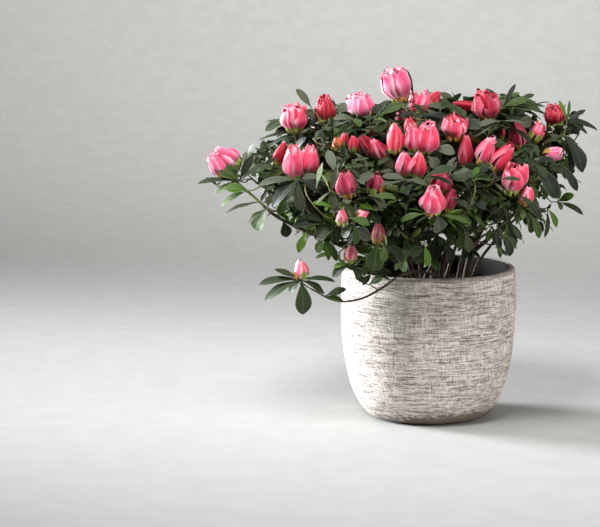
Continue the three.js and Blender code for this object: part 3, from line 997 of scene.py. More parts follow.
# where the leaves start, then each leaf's tip, the width that it shows and its tone
leafShoots = [
    [(312, 109), (298, 89, 7, "grey")],
    [(335, 113), (346, 104, 9, "grey"), (331, 100, 6, "dark")],
    [(354, 119), (334, 116, 7, "grey"), (334, 123, 5, "grey")],
    [(333, 140), (331, 115, 4, "dark"), (322, 130, 6, "deep")],
    [(503, 107), (488, 88, 5, "deep"), (515, 84, 5, "dark"), (541, 104, 15, "deep"), (526, 98, 8, "mid")],
    [(414, 97), (407, 70, 5, "dark")],
    [(375, 117), (403, 102, 8, "mid"), (386, 100, 6, "dark")],
    [(417, 117), (399, 113, 8, "dark"), (444, 117, 8, "dark"), (453, 113, 5, "dark")],
    [(567, 121), (600, 126, 7, "dark"), (589, 131, 4, "dark"), (585, 109, 5, "dark"),
     (560, 100, 4, "freshBacklit"), (570, 101, 4, "mid")],
    [(564, 136), (588, 170, 15, "dark"), (577, 148, 9, "dark"), (577, 177, 8, "dark"),
     (541, 140, 8, "deep")],
    [(560, 164), (580, 190, 9, "dark"), (568, 178, 10, "deep")],
    [(534, 164), (561, 197, 16, "dark"), (548, 176, 8, "deep")],
    [(557, 202), (586, 211, 7, "deep"), (573, 194, 8, "freshBacklit"), (563, 209, 6, "mid")],
    [(547, 208), (548, 239, 5, "deep"), (560, 227, 7, "freshBacklit")],
    [(520, 196), (545, 217, 10, "dark"), (534, 206, 6, "deep")],
    [(529, 213), (543, 238, 8, "mid"), (533, 234, 8, "mid")],
    [(507, 236), (511, 256, 9, "dark"), (517, 246, 6, "deep")],
    [(492, 226), (503, 249, 6, "dark"), (497, 244, 6, "deep"), (486, 241, 5, "mid")],
    [(508, 221), (517, 246, 6, "dark"), (507, 243, 7, "mid"), (523, 239, 7, "deep")],
    [(510, 127), (533, 140, 6, "dark")],
    [(500, 121), (472, 134, 6, "grey"), (478, 123, 5, "grey")],
    [(498, 180), (520, 177, 4, "deep")],
    [(473, 178), (454, 176, 9, "deep"), (489, 164, 7, "dark"), (478, 167, 5, "freshBacklit"),
     (492, 177, 5, "mid")],
    [(239, 181), (197, 178, 5, "deep"), (212, 192, 6, "mid"), (221, 166, 15, "mid"),
     (252, 156, 9, "dark"), (265, 161, 5, "grey")],
    [(248, 191), (219, 202, 7, "mid"), (227, 186, 9, "freshBacklit")],
    [(256, 202), (221, 211, 4, "deep")],
    [(267, 208), (252, 229, 16, "mid"), (247, 221, 3, "deep")],
    [(283, 221), (288, 237, 12, "deep")],
    [(307, 231), (297, 252, 8, "freshBacklit")],
    [(323, 238), (316, 253, 9, "mid"), (331, 260, 8, "freshBacklit"), (340, 260, 7, "mid")],
    [(298, 180), (258, 180, 8, "grey"), (269, 204, 12, "dark"), (300, 213, 11, "grey"),
     (331, 190, 13, "dark"), (284, 199, 8, "deep")],
    [(325, 223), (292, 221, 11, "dark"), (306, 214, 7, "deep")],
    [(299, 133), (275, 128, 9, "dark"), (257, 135, 4, "deep"), (267, 143, 4, "deep"),
     (321, 113, 8, "dark"), (318, 140, 6, "deep")],
    [(407, 180), (383, 173, 7, "grey"), (380, 182, 6, "grey"), (428, 182, 7, "grey"),
     (396, 190, 6, "grey")],
    [(426, 176), (452, 166, 8, "deep"), (454, 181, 4, "deep")],
    [(428, 156), (438, 167, 11, "grey")],
    [(433, 150), (455, 150, 10, "grey")],
    [(378, 242), (373, 273, 18, "mid")],
    [(350, 264), (331, 275, 9, "deep"), (334, 265, 5, "freshBacklit"), (362, 277, 8, "deep")],
    [(349, 218), (370, 222, 8, "mid")],
    [(352, 227), (371, 238, 12, "grey")],
    [(334, 227), (316, 237, 12, "grey"), (338, 241, 10, "deep")],
    [(384, 246), (407, 258, 12, "dark"), (384, 262, 8, "mid")],
    [(407, 256), (422, 249, 9, "deep"), (401, 272, 9, "mid")],
    [(376, 211), (361, 204, 6, "freshBacklit")],
    [(370, 196), (388, 206, 8, "grey")],
    [(425, 214), (400, 218, 6, "mid")],
    [(437, 215), (441, 233, 14, "grey"), (471, 219, 5, "mid")],
    [(443, 233), (421, 236, 10, "grey"), (456, 243, 8, "deep")],
    [(447, 243), (452, 264, 11, "dark"), (432, 258, 9, "dark")],
    [(464, 232), (472, 252, 9, "deep"), (458, 250, 8, "mid")],
    [(424, 244), (414, 264, 9, "deep"), (430, 266, 7, "freshBacklit")],
    [(437, 234), (431, 254, 9, "deep"), (447, 250, 9, "mid"), (440, 250, 8, "dark")],
    [(354, 225), (341, 236, 9, "deep"), (357, 245, 8, "mid"), (347, 244, 7, "dark")],
]
# the same on the drooping bough, with millimetres behind the pot's axis first
droopShoots = [
    [-84, (301, 280), (258, 279, 7, "deep"), (262, 296, 9, "deep"), (276, 268, 6, "deep"),
     (305, 315, 17, "deep"), (327, 291, 8, "deep"), (336, 277, 6, "deep"), (288, 291, 8, "deep")],
    [-88, (325, 296), (345, 288, 7, "deep"), (344, 300, 6, "mid")],
    [-97, (368, 285), (356, 275, 7, "deep"), (382, 276, 7, "mid")],
]
# small windows where the light shows through between the leaves, as left, top, right, bottom
skyGaps = [(478, 226, 496, 256), (272, 226, 298, 238), (522, 170, 530, 178), (540, 176, 549, 190),
           (520, 244, 560, 264), (246, 226, 262, 300), (404, 256, 414, 268), (507, 212, 518, 236),
           (560, 176, 572, 186), (262, 238, 314, 266), (314, 257, 328, 266), (196, 182, 258, 216)]
# how high leaves reach before the backdrop, from left to right
skyline = [(180, 170), (215, 163), (232, 152), (252, 128), (270, 116), (286, 108), (345, 100),
           (375, 100), (410, 92), (450, 91), (475, 96), (498, 88), (520, 90), (545, 96), (575, 98),
           (600, 108), (640, 120)]


def massTree(names):
    verts = []
    faces = []
    for name in names:
        mesh = frame["nodes"][name].data
        offset = len(verts)
        verts.extend(vertex.co.copy() for vertex in mesh.vertices)
        faces.extend([offset + index for index in face.vertices] for face in mesh.polygons)
    return BVHTree.FromPolygons(verts, faces)


massNames = [name for name in frame["nodes"] if name.startswith("foliage_")]
crownTree = massTree(massNames)
crownCentre = np.array(crown["centre"])


def crownFace(pixel):
    # where the line of sight meets the crown, or passes nearest to it
    ray = seenRay(pixel)
    hit = crownTree.ray_cast(Vector(viewPlace), Vector(ray))
    if hit[0] is not None:
        return np.array(hit[0])
    passed = [viewPlace + ray * far for far in np.arange(1.95, 2.45, 0.005)]
    return min(passed, key=lambda point: crownTree.find_nearest(Vector(point))[3])


def outwardAt(point):
    return unit((point - crownCentre) / np.array(crown["reach"]))


def placeBlooms():
    placed = []
    for across, down, width, length, tilt, tone, kind, extra in blooms:
        seen = (across, down)
        if "depth" in extra:
            centre = seenAt(seen, extra["depth"] * millimetre)
        else:
            behind = (extra.get("back", 0) + bloomFace["behind"]) * millimetre
            centre = crownFace(seen) + seenRay(seen) * behind
        # upright, tilted as the front shows it, and leaning out of the crown in depth
        angle = math.radians(tilt)
        axis = unit(np.array([math.sin(angle), bloomFace["leanInDepth"] * outwardAt(centre)[1],
                              math.cos(angle)]))
        length = length * pixelSpan * millimetre
        width = width * pixelSpan * millimetre * bloomFace["slimmer"]
        past = [crownFace(pixel) + seenRay(pixel) * 0.004 for pixel in extra.get("past", ())]
        placed.append({"base": centre - axis * length * 0.5, "axis": axis, "length": length,
                       "radius": width / 2, "tone": tone, "kind": kind,
                       "outer": extra.get("outer", tone), "centre": centre, "past": past,
                       "clear": -viewForward, "free": bloomFace["clearInFront"]})
    return placed


def pickSpaced(points, spacing, taken):
    # keeps the points that stand clear of all that were kept before
    kept = []
    held = np.array(taken)
    for index, point in enumerate(points):
        if np.min(np.sum((held - point) ** 2, axis=1)) >= spacing ** 2:
            kept.append(index)
            held = np.vstack([held, point])
    return kept


def sampleCrown(random):
    # random chords through the crown: where they enter, they find its outer face
    low = np.array(cadBox[0])
    high = np.array(cadBox[1])
    low[2] = crown["lowest"]
    points = []
    normals = []
    for _ in range(crown["tries"]):
        target = random.uniform(low, high)
        direction = unit(random.normal(size=3))
        hit = crownTree.ray_cast(Vector(target + direction * 0.8), Vector(-direction), 0.8)
        if hit[0] is not None:
            points.append(np.array(hit[0]))
            normals.append(np.array(hit[1]))
    return np.array(points), np.array(normals)


def shootHeading(point, normal, random, climb):
    out = outwardAt(point)
    heading = 0.55 * normal + 0.5 * out + np.array([0, 0, climb]) + random.normal(size=3) * 0.16
    heading[2] = max(heading[2], -0.15)
    return unit(heading)


placedBlooms = placeBlooms()
print("blooms placed by sight:", len(placedBlooms))

hiddenBlossom = {
    "count": 30,
    "spacing": 0.034,
    "behind": 0.085,         # at least this far behind what the front sees
    "looks": np.array([(0, 0), (-26, 0), (26, 0), (0, -34), (0, 16)]),    # tried round it, in pixels
    "facing": 0.08,          # only where the crown faces up more than this
    "lowest": 0.248,
    "length": (0.027, 0.034),
    "clearAbove": 0.04,
    "kinds": ("cup", "open", "ruffled", "twin", "cup", "bud"),
    "tones": ("pale", "pink", "pink", "coral", "coral", "red"),
    "slimness": {"cup": 0.46, "open": 0.48, "ruffled": 0.46, "twin": 0.42, "bud": 0.27},
    "seed": 77,
}


def addHiddenBlooms(points, normals):
    # more blooms like the front's, on the sides of the crown that the front can't see
    random = np.random.default_rng(hiddenBlossom["seed"])
    added = 0
    for point, normal in zip(points, normals):
        if added == hiddenBlossom["count"]:
            break
        if normal[2] < hiddenBlossom["facing"] or point[2] < hiddenBlossom["lowest"]:
            continue
        gaps = [np.linalg.norm(bloom["centre"] - point) for bloom in placedBlooms]
        if min(gaps) < hiddenBlossom["spacing"]:
            continue
        far = np.linalg.norm(point - viewPlace)
        pixel = pixelsOf(point[None, :])[0]
        around = [seenRay(pixel + offset) for offset in hiddenBlossom["looks"]]
        hits = [crownTree.ray_cast(Vector(viewPlace), Vector(ray)) for ray in around]
        if any(hit[0] is None or far - hit[3] < hiddenBlossom["behind"] for hit in hits):
            continue
        kind = str(random.choice(hiddenBlossom["kinds"]))
        axis = unit(0.55 * normal + 0.35 * outwardAt(point) + random.normal(size=3) * 0.16
                    + np.array([0, 0, 0.6]))
        length = random.uniform(*hiddenBlossom["length"])
        base = point - axis * length * 0.70
        tone = str(random.choice(hiddenBlossom["tones"]))
        placedBlooms.append({"base": base, "axis": axis, "length": length,
                             "radius": length * hiddenBlossom["slimness"][kind], "tone": tone,
                             "outer": tone, "kind": kind, "centre": base + axis * length / 2,
                             "past": [], "clear": axis, "free": hiddenBlossom["clearAbove"]})
        added += 1
    print("blooms on the far sides:", added)


def outOfSight(tips, thinned):
    # true for tips that would show above the skyline, and for most of those at the sparse ends
    across, down = pixelsOf(tips).T
    tooHigh = down < np.interp(across, *zip(*skyline)) + crown["underSkyline"]
    sparse = (across < crown["sparse"][0]) | (across > crown["sparse"][1])
    beyond = (across < crown["ends"][0]) | (across > crown["ends"][1])
    return tooHigh | beyond | (sparse & thinned)


shownLeaves = []   # where striking leaves show: pixel, reach in pixels, depth


def addShown(shoots, tip, seen, leaves, droop):
    shoots.append({"tip": tip, "heading": unit(outwardAt(tip) + (0, 0, 0.5)), "kind": "shown",
                   "leaves": leaves, "size": 0.7, "droop": droop})
    for across, down, width, _ in leaves:
        for share in (0.35, 0.6, 0.85):
            pixel = np.array(seen) * (1 - share) + np.array((across, down)) * share
            shownLeaves.append((*pixel, width / 2 + 3, tip[1] + 0.004))


def gatherShoots():
    random = np.random.default_rng(crown["seed"])
    points, normals = sampleCrown(random)
    addHiddenBlooms(points, normals)
    shoots = []
    for bloom in placedBlooms:
        low = bloom["base"] - bloom["axis"] * 0.004
        shoots.append({"tip": low, "heading": bloom["axis"], "kind": "bloom", "bloom": bloom,
                       "past": bloom["past"],
                       "droop": low[2] < crown["droopBlooms"][0] and low[0] < crown["droopBlooms"][1],
                       "size": 0.85 if bloom["radius"] > 0.009 else 0.6})
    for seen, *leaves in leafShoots:
        tip = crownFace(seen) - seenRay(seen) * crown["shownInFront"]
        addShown(shoots, tip, seen, leaves, False)
    for depth, seen, *leaves in droopShoots:
        addShown(shoots, seenAt(seen, depth * millimetre), seen, leaves, True)

    def insetTips(rule):
        return points - normals * random.uniform(*rule["inset"], len(points))[:, None]

    def addPicked(tips, allowed, kind, rule):
        order = np.flatnonzero(allowed)
        taken = [shoot["tip"] for shoot in shoots]
        for index in order[pickSpaced(tips[order], rule["spacing"], taken)]:
            heading = shootHeading(tips[index], normals[index], random, rule["climb"])
            shoots.append({"tip": tips[index], "heading": heading, "kind": kind,
                           "size": random.uniform(*rule["size"])})

    tips = insetTips(crown["outer"])
    across, deep, up = tips.T
    overPot = (up < crown["overPot"][0]) & (np.hypot(across, deep) < crown["overPot"][1])
    besideDroop = (up < crown["besideDroop"][0]) & (across < crown["besideDroop"][1])
    thinned = random.random(len(tips)) < crown["thinned"]
    barred = overPot | besideDroop | outOfSight(tips, thinned)
    addPicked(tips, (normals[:, 2] > crown["facing"]) & ~barred, "leafy", crown["outer"])
    outerCount = len(shoots)
    tips = insetTips(crown["inner"])
    allowed = (tips[:, 2] > crown["innerLowest"]) & ~outOfSight(tips, thinned)
    addPicked(tips, allowed, "inner", crown["inner"])
    print("shoots:", outerCount, "outer and", len(shoots) - outerCount, "inner")
    return shoots


shoots = gatherShoots()


# growth: each shoot is joined to the nearest wood by the shortest way that runs outwards

growth = {
    "detour": 0.30,
    "turnCost": 0.9,
    "nodeStep": 0.0065,
    "mostNodes": 60,       # for each shoot
    "leave": 0.45,         # how much a twig leaves the way its wood runs
    "arrive": 0.35,        # how much it ends the straight way from there
    "handle": 0.36,
    "wobble": 0.0011,
    "fullWobble": 0.03,    # from this length on
    "bareBelow": 0.158,
    "tipRadius": 0.00062,
    "thicken": 0.40,
    "sides": 6,
    "thick": 0.00125,      # thicker twigs wear old bark
    "seed": 21,
}


def growWood():
    random = np.random.default_rng(growth["seed"])
    limit = sum(len(limb["path"]) for limb in limbPath.values()) + growth["mostNodes"] * len(shoots)
    place = np.zeros((limit, 3))
    heading = np.zeros((limit, 3))
    reach = np.zeros(limit)
    onDroop = np.zeros(limit, bool)
    parents = []

    def addNodes(points, parent, droops):
        # a row of nodes, each joined to the one before it and the first to parent
        for point, direction in points:
            node = len(parents)
            place[node] = point
            heading[node] = direction
            if parent >= 0:
                reach[node] = reach[parent] + np.linalg.norm(point - place[parent])
            onDroop[node] = droops
            parents.append(parent)
            parent = node

    nodesOf = {}
    for name, limb in limbPath.items():
        path = limb["path"][::2]
        parent = -1
        if limb["parent"] is not None:
            home = nodesOf[limb["parent"]]
            parent = home[int(np.argmin([np.linalg.norm(place[index] - path[0]) for index in home]))]
        first = len(parents)
        addNodes(zip(path, unit(np.gradient(path, axis=0))), parent, name == "bough_droop_outer")
        nodesOf[name] = range(first, len(parents))
    woodCount = len(parents)

    tips = np.array([shoot["past"][0] if shoot.get("past") else shoot["tip"] for shoot in shoots])
    bestCost = np.full(len(tips), np.inf)
    bestNode = np.zeros(len(tips), int)
    # the lowest stretch of the stems stays bare, and the drooping bough feeds only its own shoots
    bare = (place[:, 2] < growth["bareBelow"]) & ~onDroop
    bare[woodCount:] = False
    forDroop = np.array([bool(shoot.get("droop")) for shoot in shoots])

    def offer(first, last):
        # shoots take the nearest of these nodes where it beats what they had
        gap = tips[:, None, :] - place[None, first:last, :]
        distance = np.linalg.norm(gap, axis=2)
        ahead = np.einsum("ijk,jk->ij", gap, heading[first:last]) / np.maximum(distance, 1e-6)
        cost = distance * (1 + growth["turnCost"] * (1 - ahead) / 2)
        cost = cost + growth["detour"] * reach[first:last][None, :]
        cost = np.where(forDroop[:, None] == onDroop[None, first:last], cost, np.inf)
        cost[:, bare[first:last]] = np.inf
        nearest = np.argmin(cost, axis=1)
        value = cost[np.arange(len(tips)), nearest]
        better = value < bestCost
        bestCost[better] = value[better]
        bestNode[better] = first + nearest[better]

    for first in range(0, woodCount, 200):
        offer(first, min(first + 200, woodCount))
    waiting = np.ones(len(tips), bool)
    chains = []
    while waiting.any():
        pick = int(np.argmin(np.where(waiting, bestCost, np.inf)))
        node = int(bestNode[pick])
        shoot = shoots[pick]
        start = place[node]
        end = shoot["tip"]
        span = np.linalg.norm(end - start)
        toward = (end - start) / max(span, 1e-6)
        leave = unit(growth["leave"] * heading[node] + toward)
        arrive = unit(shoot["heading"] + growth["arrive"] * toward)
        handle = growth["handle"] * span
        steps = max(3, int(span / growth["nodeStep"]) + 1)
        share = np.linspace(0, 1, steps + 1)[:, None]
        curve = ((1 - share) ** 3 * start + 3 * (1 - share) ** 2 * share * (start + leave * handle)
                 + 3 * (1 - share) * share ** 2 * (end - arrive * handle) + share ** 3 * end)
        bend = random.normal(size=(steps + 1, 3)) * growth["wobble"]
        curve = curve + bend * np.sin(share * math.pi) * min(1.0, span / growth["fullWobble"])
        if shoot.get("past"):
            curve = curveThrough([start, *shoot["past"], end], growth["nodeStep"])
        first = len(parents)
        direction = unit(np.gradient(curve, axis=0))
        addNodes(zip(curve[1:], direction[1:]), node, forDroop[pick])
        chains.append({"from": node, "nodes": list(range(first, len(parents))), "shoot": shoot})
        waiting[pick] = False
        offer(first, len(parents))
    count = len(parents)
    tipsBeyond = np.zeros(count)
    for chain in chains:
        tipsBeyond[chain["nodes"][-1]] += 1
    for index in range(count - 1, 0, -1):
        if parents[index] >= 0:
            tipsBeyond[parents[index]] += tipsBeyond[index]
    radius = growth["tipRadius"] * np.maximum(tipsBeyond, 1) ** growth["thicken"]
    print("wood grown:", len(chains), "twigs,", count, "points")
    return {"place": place[:count], "heading": heading[:count], "radius": radius, "chains": chains}


wood = growWood()


def buildTwigs():
    young = newParts()
    old = newParts()
    limbRadius = np.concatenate([limb["radius"][::2] for limb in limbPath.values()])
    bearing = {chain["from"] for chain in wood["chains"]}
    for chain in wood["chains"]:
        nodes = chain["nodes"]
        start = chain["from"]
        shoot = chain["shoot"]
        leafless = not chain["leaves"] and shoot["kind"] in ("leafy", "inner")
        if leafless and bearing.isdisjoint(nodes):
            continue
        path = wood["place"][[start] + nodes]
        radii = wood["radius"][nodes]
        radii = np.concatenate([radii[:1] * 1.15, radii])
        # where it leaves a limb it stays thinner than that, and swells a little
        if start < len(limbRadius):
            radii = np.minimum(radii, limbRadius[start] * 0.8)
            radii[0] = min(radii[0] * 1.25, limbRadius[start] * 0.9)
        if shoot["kind"] == "bloom":
            path = np.vstack([path, shoot["bloom"]["base"] + shoot["bloom"]["axis"] * 0.0015])
            radii = np.concatenate([radii, [0.0009]])
        radii = np.repeat(radii[:, None], growth["sides"], axis=1)
        # leaf scars swell the twig a little at every second point
        radii[1:-1:2] *= 1.12
        target = old if radii[len(radii) // 2, 0] > growth["thick"] else young
        addTube(target, path, radii, np.array, 0.5, False)
    looks = {
        "twigs_young": (young, tint(66, 58, 38), tint(124, 120, 68), tint(104, 78, 52)),
        "twigs_old": (old, tint(52, 36, 28), tint(118, 90, 66), tint(104, 104, 62)),
    }
    for name, (parts, dark, light, moss) in looks.items():
        material, tree, shader = newMaterial(name + "_bark", {"Specular IOR Level": 0.35})
        found = useGroup(tree, barkRidges, Dark=dark, Light=light, Moss=moss, Around=5.0, Along=9.0,
                         Green=0.4)
        dress(tree, shader, found, 0.5, 0.0003)
        settle(makePiece(name, parts, material), "bark", *massNames)


# leaves

leafLook = {
    "stations": 9,
    "columns": 5,
    "stalk": 0.07,
    "stalkWidth": 0.0011,
    "length": 0.0345,
    "heights": (0.20, 0.30),     # between these leaves grow longer, by the next two shares
    "lowToHigh": (0.68, 1.0),
    "slender": 0.37,
    "seed": 5,
    "goldenAngle": 2.399963,
    "lift": (48, 82),            # degrees off the twig, at its tip
    "liftUnderBloom": (62, 92),
    "liftDownTwig": (58, 88),
    "spareFrom": 0.006,          # where the leaves down the twig begin, and their distance
    "spareStep": 0.0062,
    "low": 0.235,                # where the areas of the tones meet
    "left": -0.045,
    "right": 0.085,
    # how many leaves at the tip, at least and below, and how many at most down the twig
    "counts": {"bloom": (6, 9, 3), "inner": (6, 9, 5), "leafy": (7, 10, 5)},
    "overPot": (0.160, 0.0975),      # below this height no leaf comes nearer to the pot's axis
    "beside": (0.150, -0.095),       # below this height leaves hang only on the left
}
# main colour, ribs, rim and underside
leafTones = {
    # painted shade: the dark tone stands in for leaves in shade, on the right and inside the crown
    "dark": ((30, 37, 26), (72, 84, 56), (78, 88, 64), (84, 96, 62)),
    "deep": ((41, 54, 31), (88, 104, 56), (92, 106, 66), (98, 114, 68)),
    # partly painted sheen: a grey-green that also carries the grey sheen of leaves on the lit side
    "grey": ((74, 81, 64), (118, 124, 96), (122, 128, 102), (110, 120, 88)),
    "mid": ((57, 78, 34), (114, 134, 64), (112, 130, 68), (112, 130, 70)),
    # partly painted light: young light green, made lighter to stand in for light shining through low leaves
    "freshBacklit": ((72, 106, 34), (130, 154, 66), (116, 142, 58), (94, 122, 50)),
}
# plain colours dealt out by spray: light green low down on the left, young growth with painted glow of
# light shining through; dark on the right and inside, painted shade; grey partly painted sheen; the shares
# are running totals
toneShares = {
    "inner": {"dark": 0.6, "deep": 1},
    "lowLeft": {"freshBacklit": 0.5, "mid": 0.88, "deep": 1},
    "left": {"deep": 0.3, "grey": 0.62, "mid": 0.9, "dark": 1},
    "low": {"mid": 0.42, "freshBacklit": 0.58, "deep": 1},
    "right": {"dark": 0.55, "deep": 0.86, "mid": 1},
    "middle": {"deep": 0.34, "dark": 0.60, "grey": 0.82, "mid": 1},
}
bladeKeys = ("base", "along", "up", "length", "width", "rise", "arch", "fold", "twist", "wave", "tile")
blades = {tone: [] for tone in leafTones}


def toneFor(place, random, kind):
    chance = random.random()
    low = place[2] < leafLook["low"]
    area = "right" if place[0] > leafLook["right"] else "middle"
    if low:
        area = "low"
    if place[0] < leafLook["left"]:
        area = "lowLeft" if low else "left"
    if kind == "inner":
        area = "inner"
    return next(tone for tone, share in toneShares[area].items() if chance < share)


shown = np.array(shownLeaves)
bloomCentres = np.array([bloom["centre"] for bloom in placedBlooms])
bloomClear = np.array([bloom["clear"] for bloom in placedBlooms])
bloomFree = np.array([bloom["free"] for bloom in placedBlooms])
bloomRadii = np.array([0.5 * (bloom["radius"] + bloom["length"] / 2) * 1.02 for bloom in placedBlooms])


def keepsClear(point, tip):
    # leaves stay off the pot's wall, out of the blooms and out of the windows to the light
    (potTop, potReach), (hangTop, hangLeft) = leafLook["overPot"], leafLook["beside"]
    for spot in (point, tip):
        if spot[2] < potTop and math.hypot(spot[0], spot[1]) < potReach:
            return False
        if spot[2] < hangTop and not spot[0] < hangLeft:
            return False
    for spot, share in ((point, 1.0), (tip, 0.85)):
        gap = spot - bloomCentres
        forward = np.sum(gap * bloomClear, axis=1)
        beside = np.linalg.norm(gap - forward[:, None] * bloomClear, axis=1)
        inFront = (forward > 0) & (forward < bloomFree) & (beside < bloomRadii * share)
        if (inFront | (np.linalg.norm(gap, axis=1) < bloomRadii * share)).any():
            return False
    ends = pixelsOf(np.array([point, tip]))
    if not crown["ends"][0] < ends[1][0] < crown["ends"][1]:
        return False
    for (across, down), depth in zip(ends, (point[1], tip[1])):
        near = np.hypot(shown[:, 0] - across, shown[:, 1] - down) < shown[:, 2]
        if (near & (shown[:, 3] > depth)).any() or down < np.interp(across, *zip(*skyline)):
            return False
        if any(left < across < right and top < down < bottom
               for left, top, right, bottom in skyGaps):
            return False
    return True


def squareTo(face, direction):
    # the part of face that stands square to direction, one long
    return unit(face - direction * np.dot(face, direction))


def leafPlaces(shoot, chain, random):
    # where a shoot's seeded leaves start, along what, at what angle and how long
    tip, kind = shoot["tip"], shoot["kind"]
    path = wood["place"][[chain["from"]] + chain["nodes"]][::-1]
    headings = wood["heading"][[chain["from"]] + chain["nodes"]][::-1]
    heading = unit(shoot["heading"])
    length = leafLook["length"] * shoot["size"]
    if kind in ("leafy", "inner"):
        length *= np.interp(tip[2], leafLook["heights"], leafLook["lowToHigh"])
    if kind == "shown":
        count = spare = 0 if shoot["droop"] else 2
    else:
        least, most, spare = leafLook["counts"][kind]
        count = int(random.integers(least, most))
    turn = random.random() * fullTurn
    places = []
    for number in range(count):
        lift = random.uniform(*leafLook["liftUnderBloom" if kind == "bloom" else "lift"])
        places.append((tip - heading * number * 0.0007, heading, lift,
                       length * random.uniform(0.78, 1.08)))
    # smaller leaves on the way down the twig
    walked = np.concatenate([[0], np.cumsum(np.linalg.norm(np.diff(path, axis=0), axis=1))])
    for number in range(spare):
        away = leafLook["spareFrom"] + leafLook["spareStep"] * number + random.uniform(0, 0.002)
        if away > walked[-1] * 0.92:
            break
        spot = np.array([np.interp(away, walked, path[:, axis]) for axis in range(3)])
        along = headings[min(len(path) - 1, int(np.searchsorted(walked, away)))]
        lift = random.uniform(*leafLook["liftDownTwig"])
        places.append((spot, along, lift, length * random.uniform(0.55, 0.88)))
    return turn, places


def sprayLeaves():
    random = np.random.default_rng(leafLook["seed"])
    for chain in wood["chains"]:
        shoot = chain["shoot"]
        tip, kind = shoot["tip"], shoot["kind"]
        tone = toneFor(tip, random, kind)
        turn, places = leafPlaces(shoot, chain, random)
        chain["leaves"] = 0
        for number, (spot, along, lift, size) in enumerate(places):
            angle = turn + number * leafLook["goldenAngle"]
            side = unit(np.cross(along, (0.31, 0.23, 0.92)))
            around = side * math.cos(angle) + np.cross(along, side) * math.sin(angle)
            lean = math.radians(lift)
            direction = unit(along * math.cos(lean) + around * math.sin(lean))
            # blades level out and turn their faces up, and hang low down on the right
            hang = np.interp(spot[2], (0.205, 0.245), (1, 0)) * np.interp(spot[0], (0.03, 0.07), (0, 1))
            direction[2] = direction[2] * 0.85 + 0.04 - 0.9 * hang
            direction = unit(direction)
            face = 0.45 * along + np.array([0, 0, 0.8]) + random.normal(size=3) * 0.38
            up = squareTo(face + hang * 0.8 * outwardAt(spot), direction)
            if not keepsClear(spot + direction * size * 0.55, spot + direction * size):
                continue
            chain["leaves"] += 1
            own = tone if random.random() < 0.8 else toneFor(tip, random, kind)
            slim = leafLook["slender"] * (1 - 0.25 * hang)
            blades[own].append((spot, direction, up, size, size * slim * random.uniform(0.85, 1.12),
                                random.uniform(0.0, 0.25), random.uniform(0.10, 0.60),
                                random.uniform(0.03, 0.28), random.uniform(-0.4, 0.4),
                                random.uniform(*wavePhase), int(random.integers(atlasTiles ** 2))))
        for across, down, width, own in shoot.get("leaves", ()):
            end = seenAt((across, down), tip[1] + random.uniform(-0.006, 0.004))
            size = float(np.linalg.norm(end - tip))
            direction = (end - tip) / size
            up = squareTo(np.array([random.uniform(-0.2, 0.2), -0.55, 0.65]), direction)
            width = width * pixelSpan * millimetre / max(abs(np.dot(up, viewForward)), 0.6)
            droop = 0.5 if direction[2] < 0.3 else 0.25
            blades[own].append((tip, direction, up, size * 1.04, width, droop * 0.4, droop,
                                random.uniform(0.05, 0.25), random.uniform(-0.25, 0.25),
                                random.uniform(*wavePhase), int(random.integers(atlasTiles ** 2))))


def leafOutline(t):
    # wedge-shaped foot, widest past the middle, blunt tip
    inner = np.clip((t - leafLook["stalk"]) / (1 - leafLook["stalk"]), 0, 1)
    oval = np.sin(math.pi * inner ** 1.18) ** 0.9
    spoon = inner ** 1.2 * np.sqrt(np.clip(1 - inner ** 4.5, 0, 1)) / 0.66
    return 0.75 * oval + 0.25 * spoon


def leafShape(data, even, s):
    # t runs down the rows and s across them, for all blades at once
    t = even ** 0.9
    angle = data["rise"] - data["arch"] * t * 1.6
    middle = (angle[:, 1:] + angle[:, :-1]) / 2
    step = data["length"] * np.diff(t, axis=0)
    startAtNought = ((0, 0), (1, 0), (0, 0))
    forward = np.pad(np.cumsum(np.cos(middle) * step, axis=1), startAtNought)[..., None]
    upward = np.pad(np.cumsum(np.sin(middle) * step, axis=1), startAtNought)[..., None]
    along, up = data["along"], data["up"]
    side = np.cross(along, up)
    spine = data["base"] + along * forward + up * upward
    localUp = up * np.cos(angle)[..., None] - along * np.sin(angle)[..., None]
    roll = (data["twist"] * t)[..., None]
    across = side * np.cos(roll) + localUp * np.sin(roll)
    normal = localUp * np.cos(roll) - side * np.sin(roll)
    half = leafOutline(t) * data["width"] / 2
    half = np.maximum(half, leafLook["stalkWidth"] / 2 * (1 - 0.8 * t))
    ripple = 0.07 * np.sin(t * 13 + data["wave"])
    lift = (data["fold"] * np.abs(s) + ripple * s ** 2 * np.sign(s)) * half
    return t, spine + across * (s * half)[..., None] + normal * lift[..., None]


def buildBlades(name, rows, keys, look, shape, material, slotName):
    # all blades of one tone in one piece, each in one tile of the map
    count, columns = len(rows), look["columns"]
    data = {}
    for key, values in zip(keys, zip(*rows)):
        values = np.array(values, float)
        data[key] = values.reshape(count, 1, 1, *values.shape[1:])
    s = np.linspace(-1, 1, columns)
    t, verts = shape(data, np.linspace(0, 1, look["stations"])[:, None], s)
    low = (np.arange(len(t) - 1)[:, None] * columns + np.arange(columns - 1)).ravel()
    cell = np.stack([low, low + 1, low + columns + 1, low + columns], axis=1)
    faces = (cell[None] + (np.arange(count) * len(t) * columns)[:, None, None]).reshape(-1, 4)
    u = tileMargin + (1 - 2 * tileMargin) * (s[None, :] + 1) / 2
    v = tileMargin + (1 - 2 * tileMargin) * t
    grid = np.stack(np.broadcast_arrays(u, v), axis=2)
    tiles = data["tile"].astype(int)
    origin = np.stack([tiles % atlasTiles, tiles // atlasTiles], axis=3)
    corners = ((origin + grid[None]) / atlasTiles).reshape(-1, 2)[faces.ravel()]
    parts = newParts()
    addParts(parts, verts, faces, corners)
    settle(makePiece(name, parts, material), slotName, *massNames)


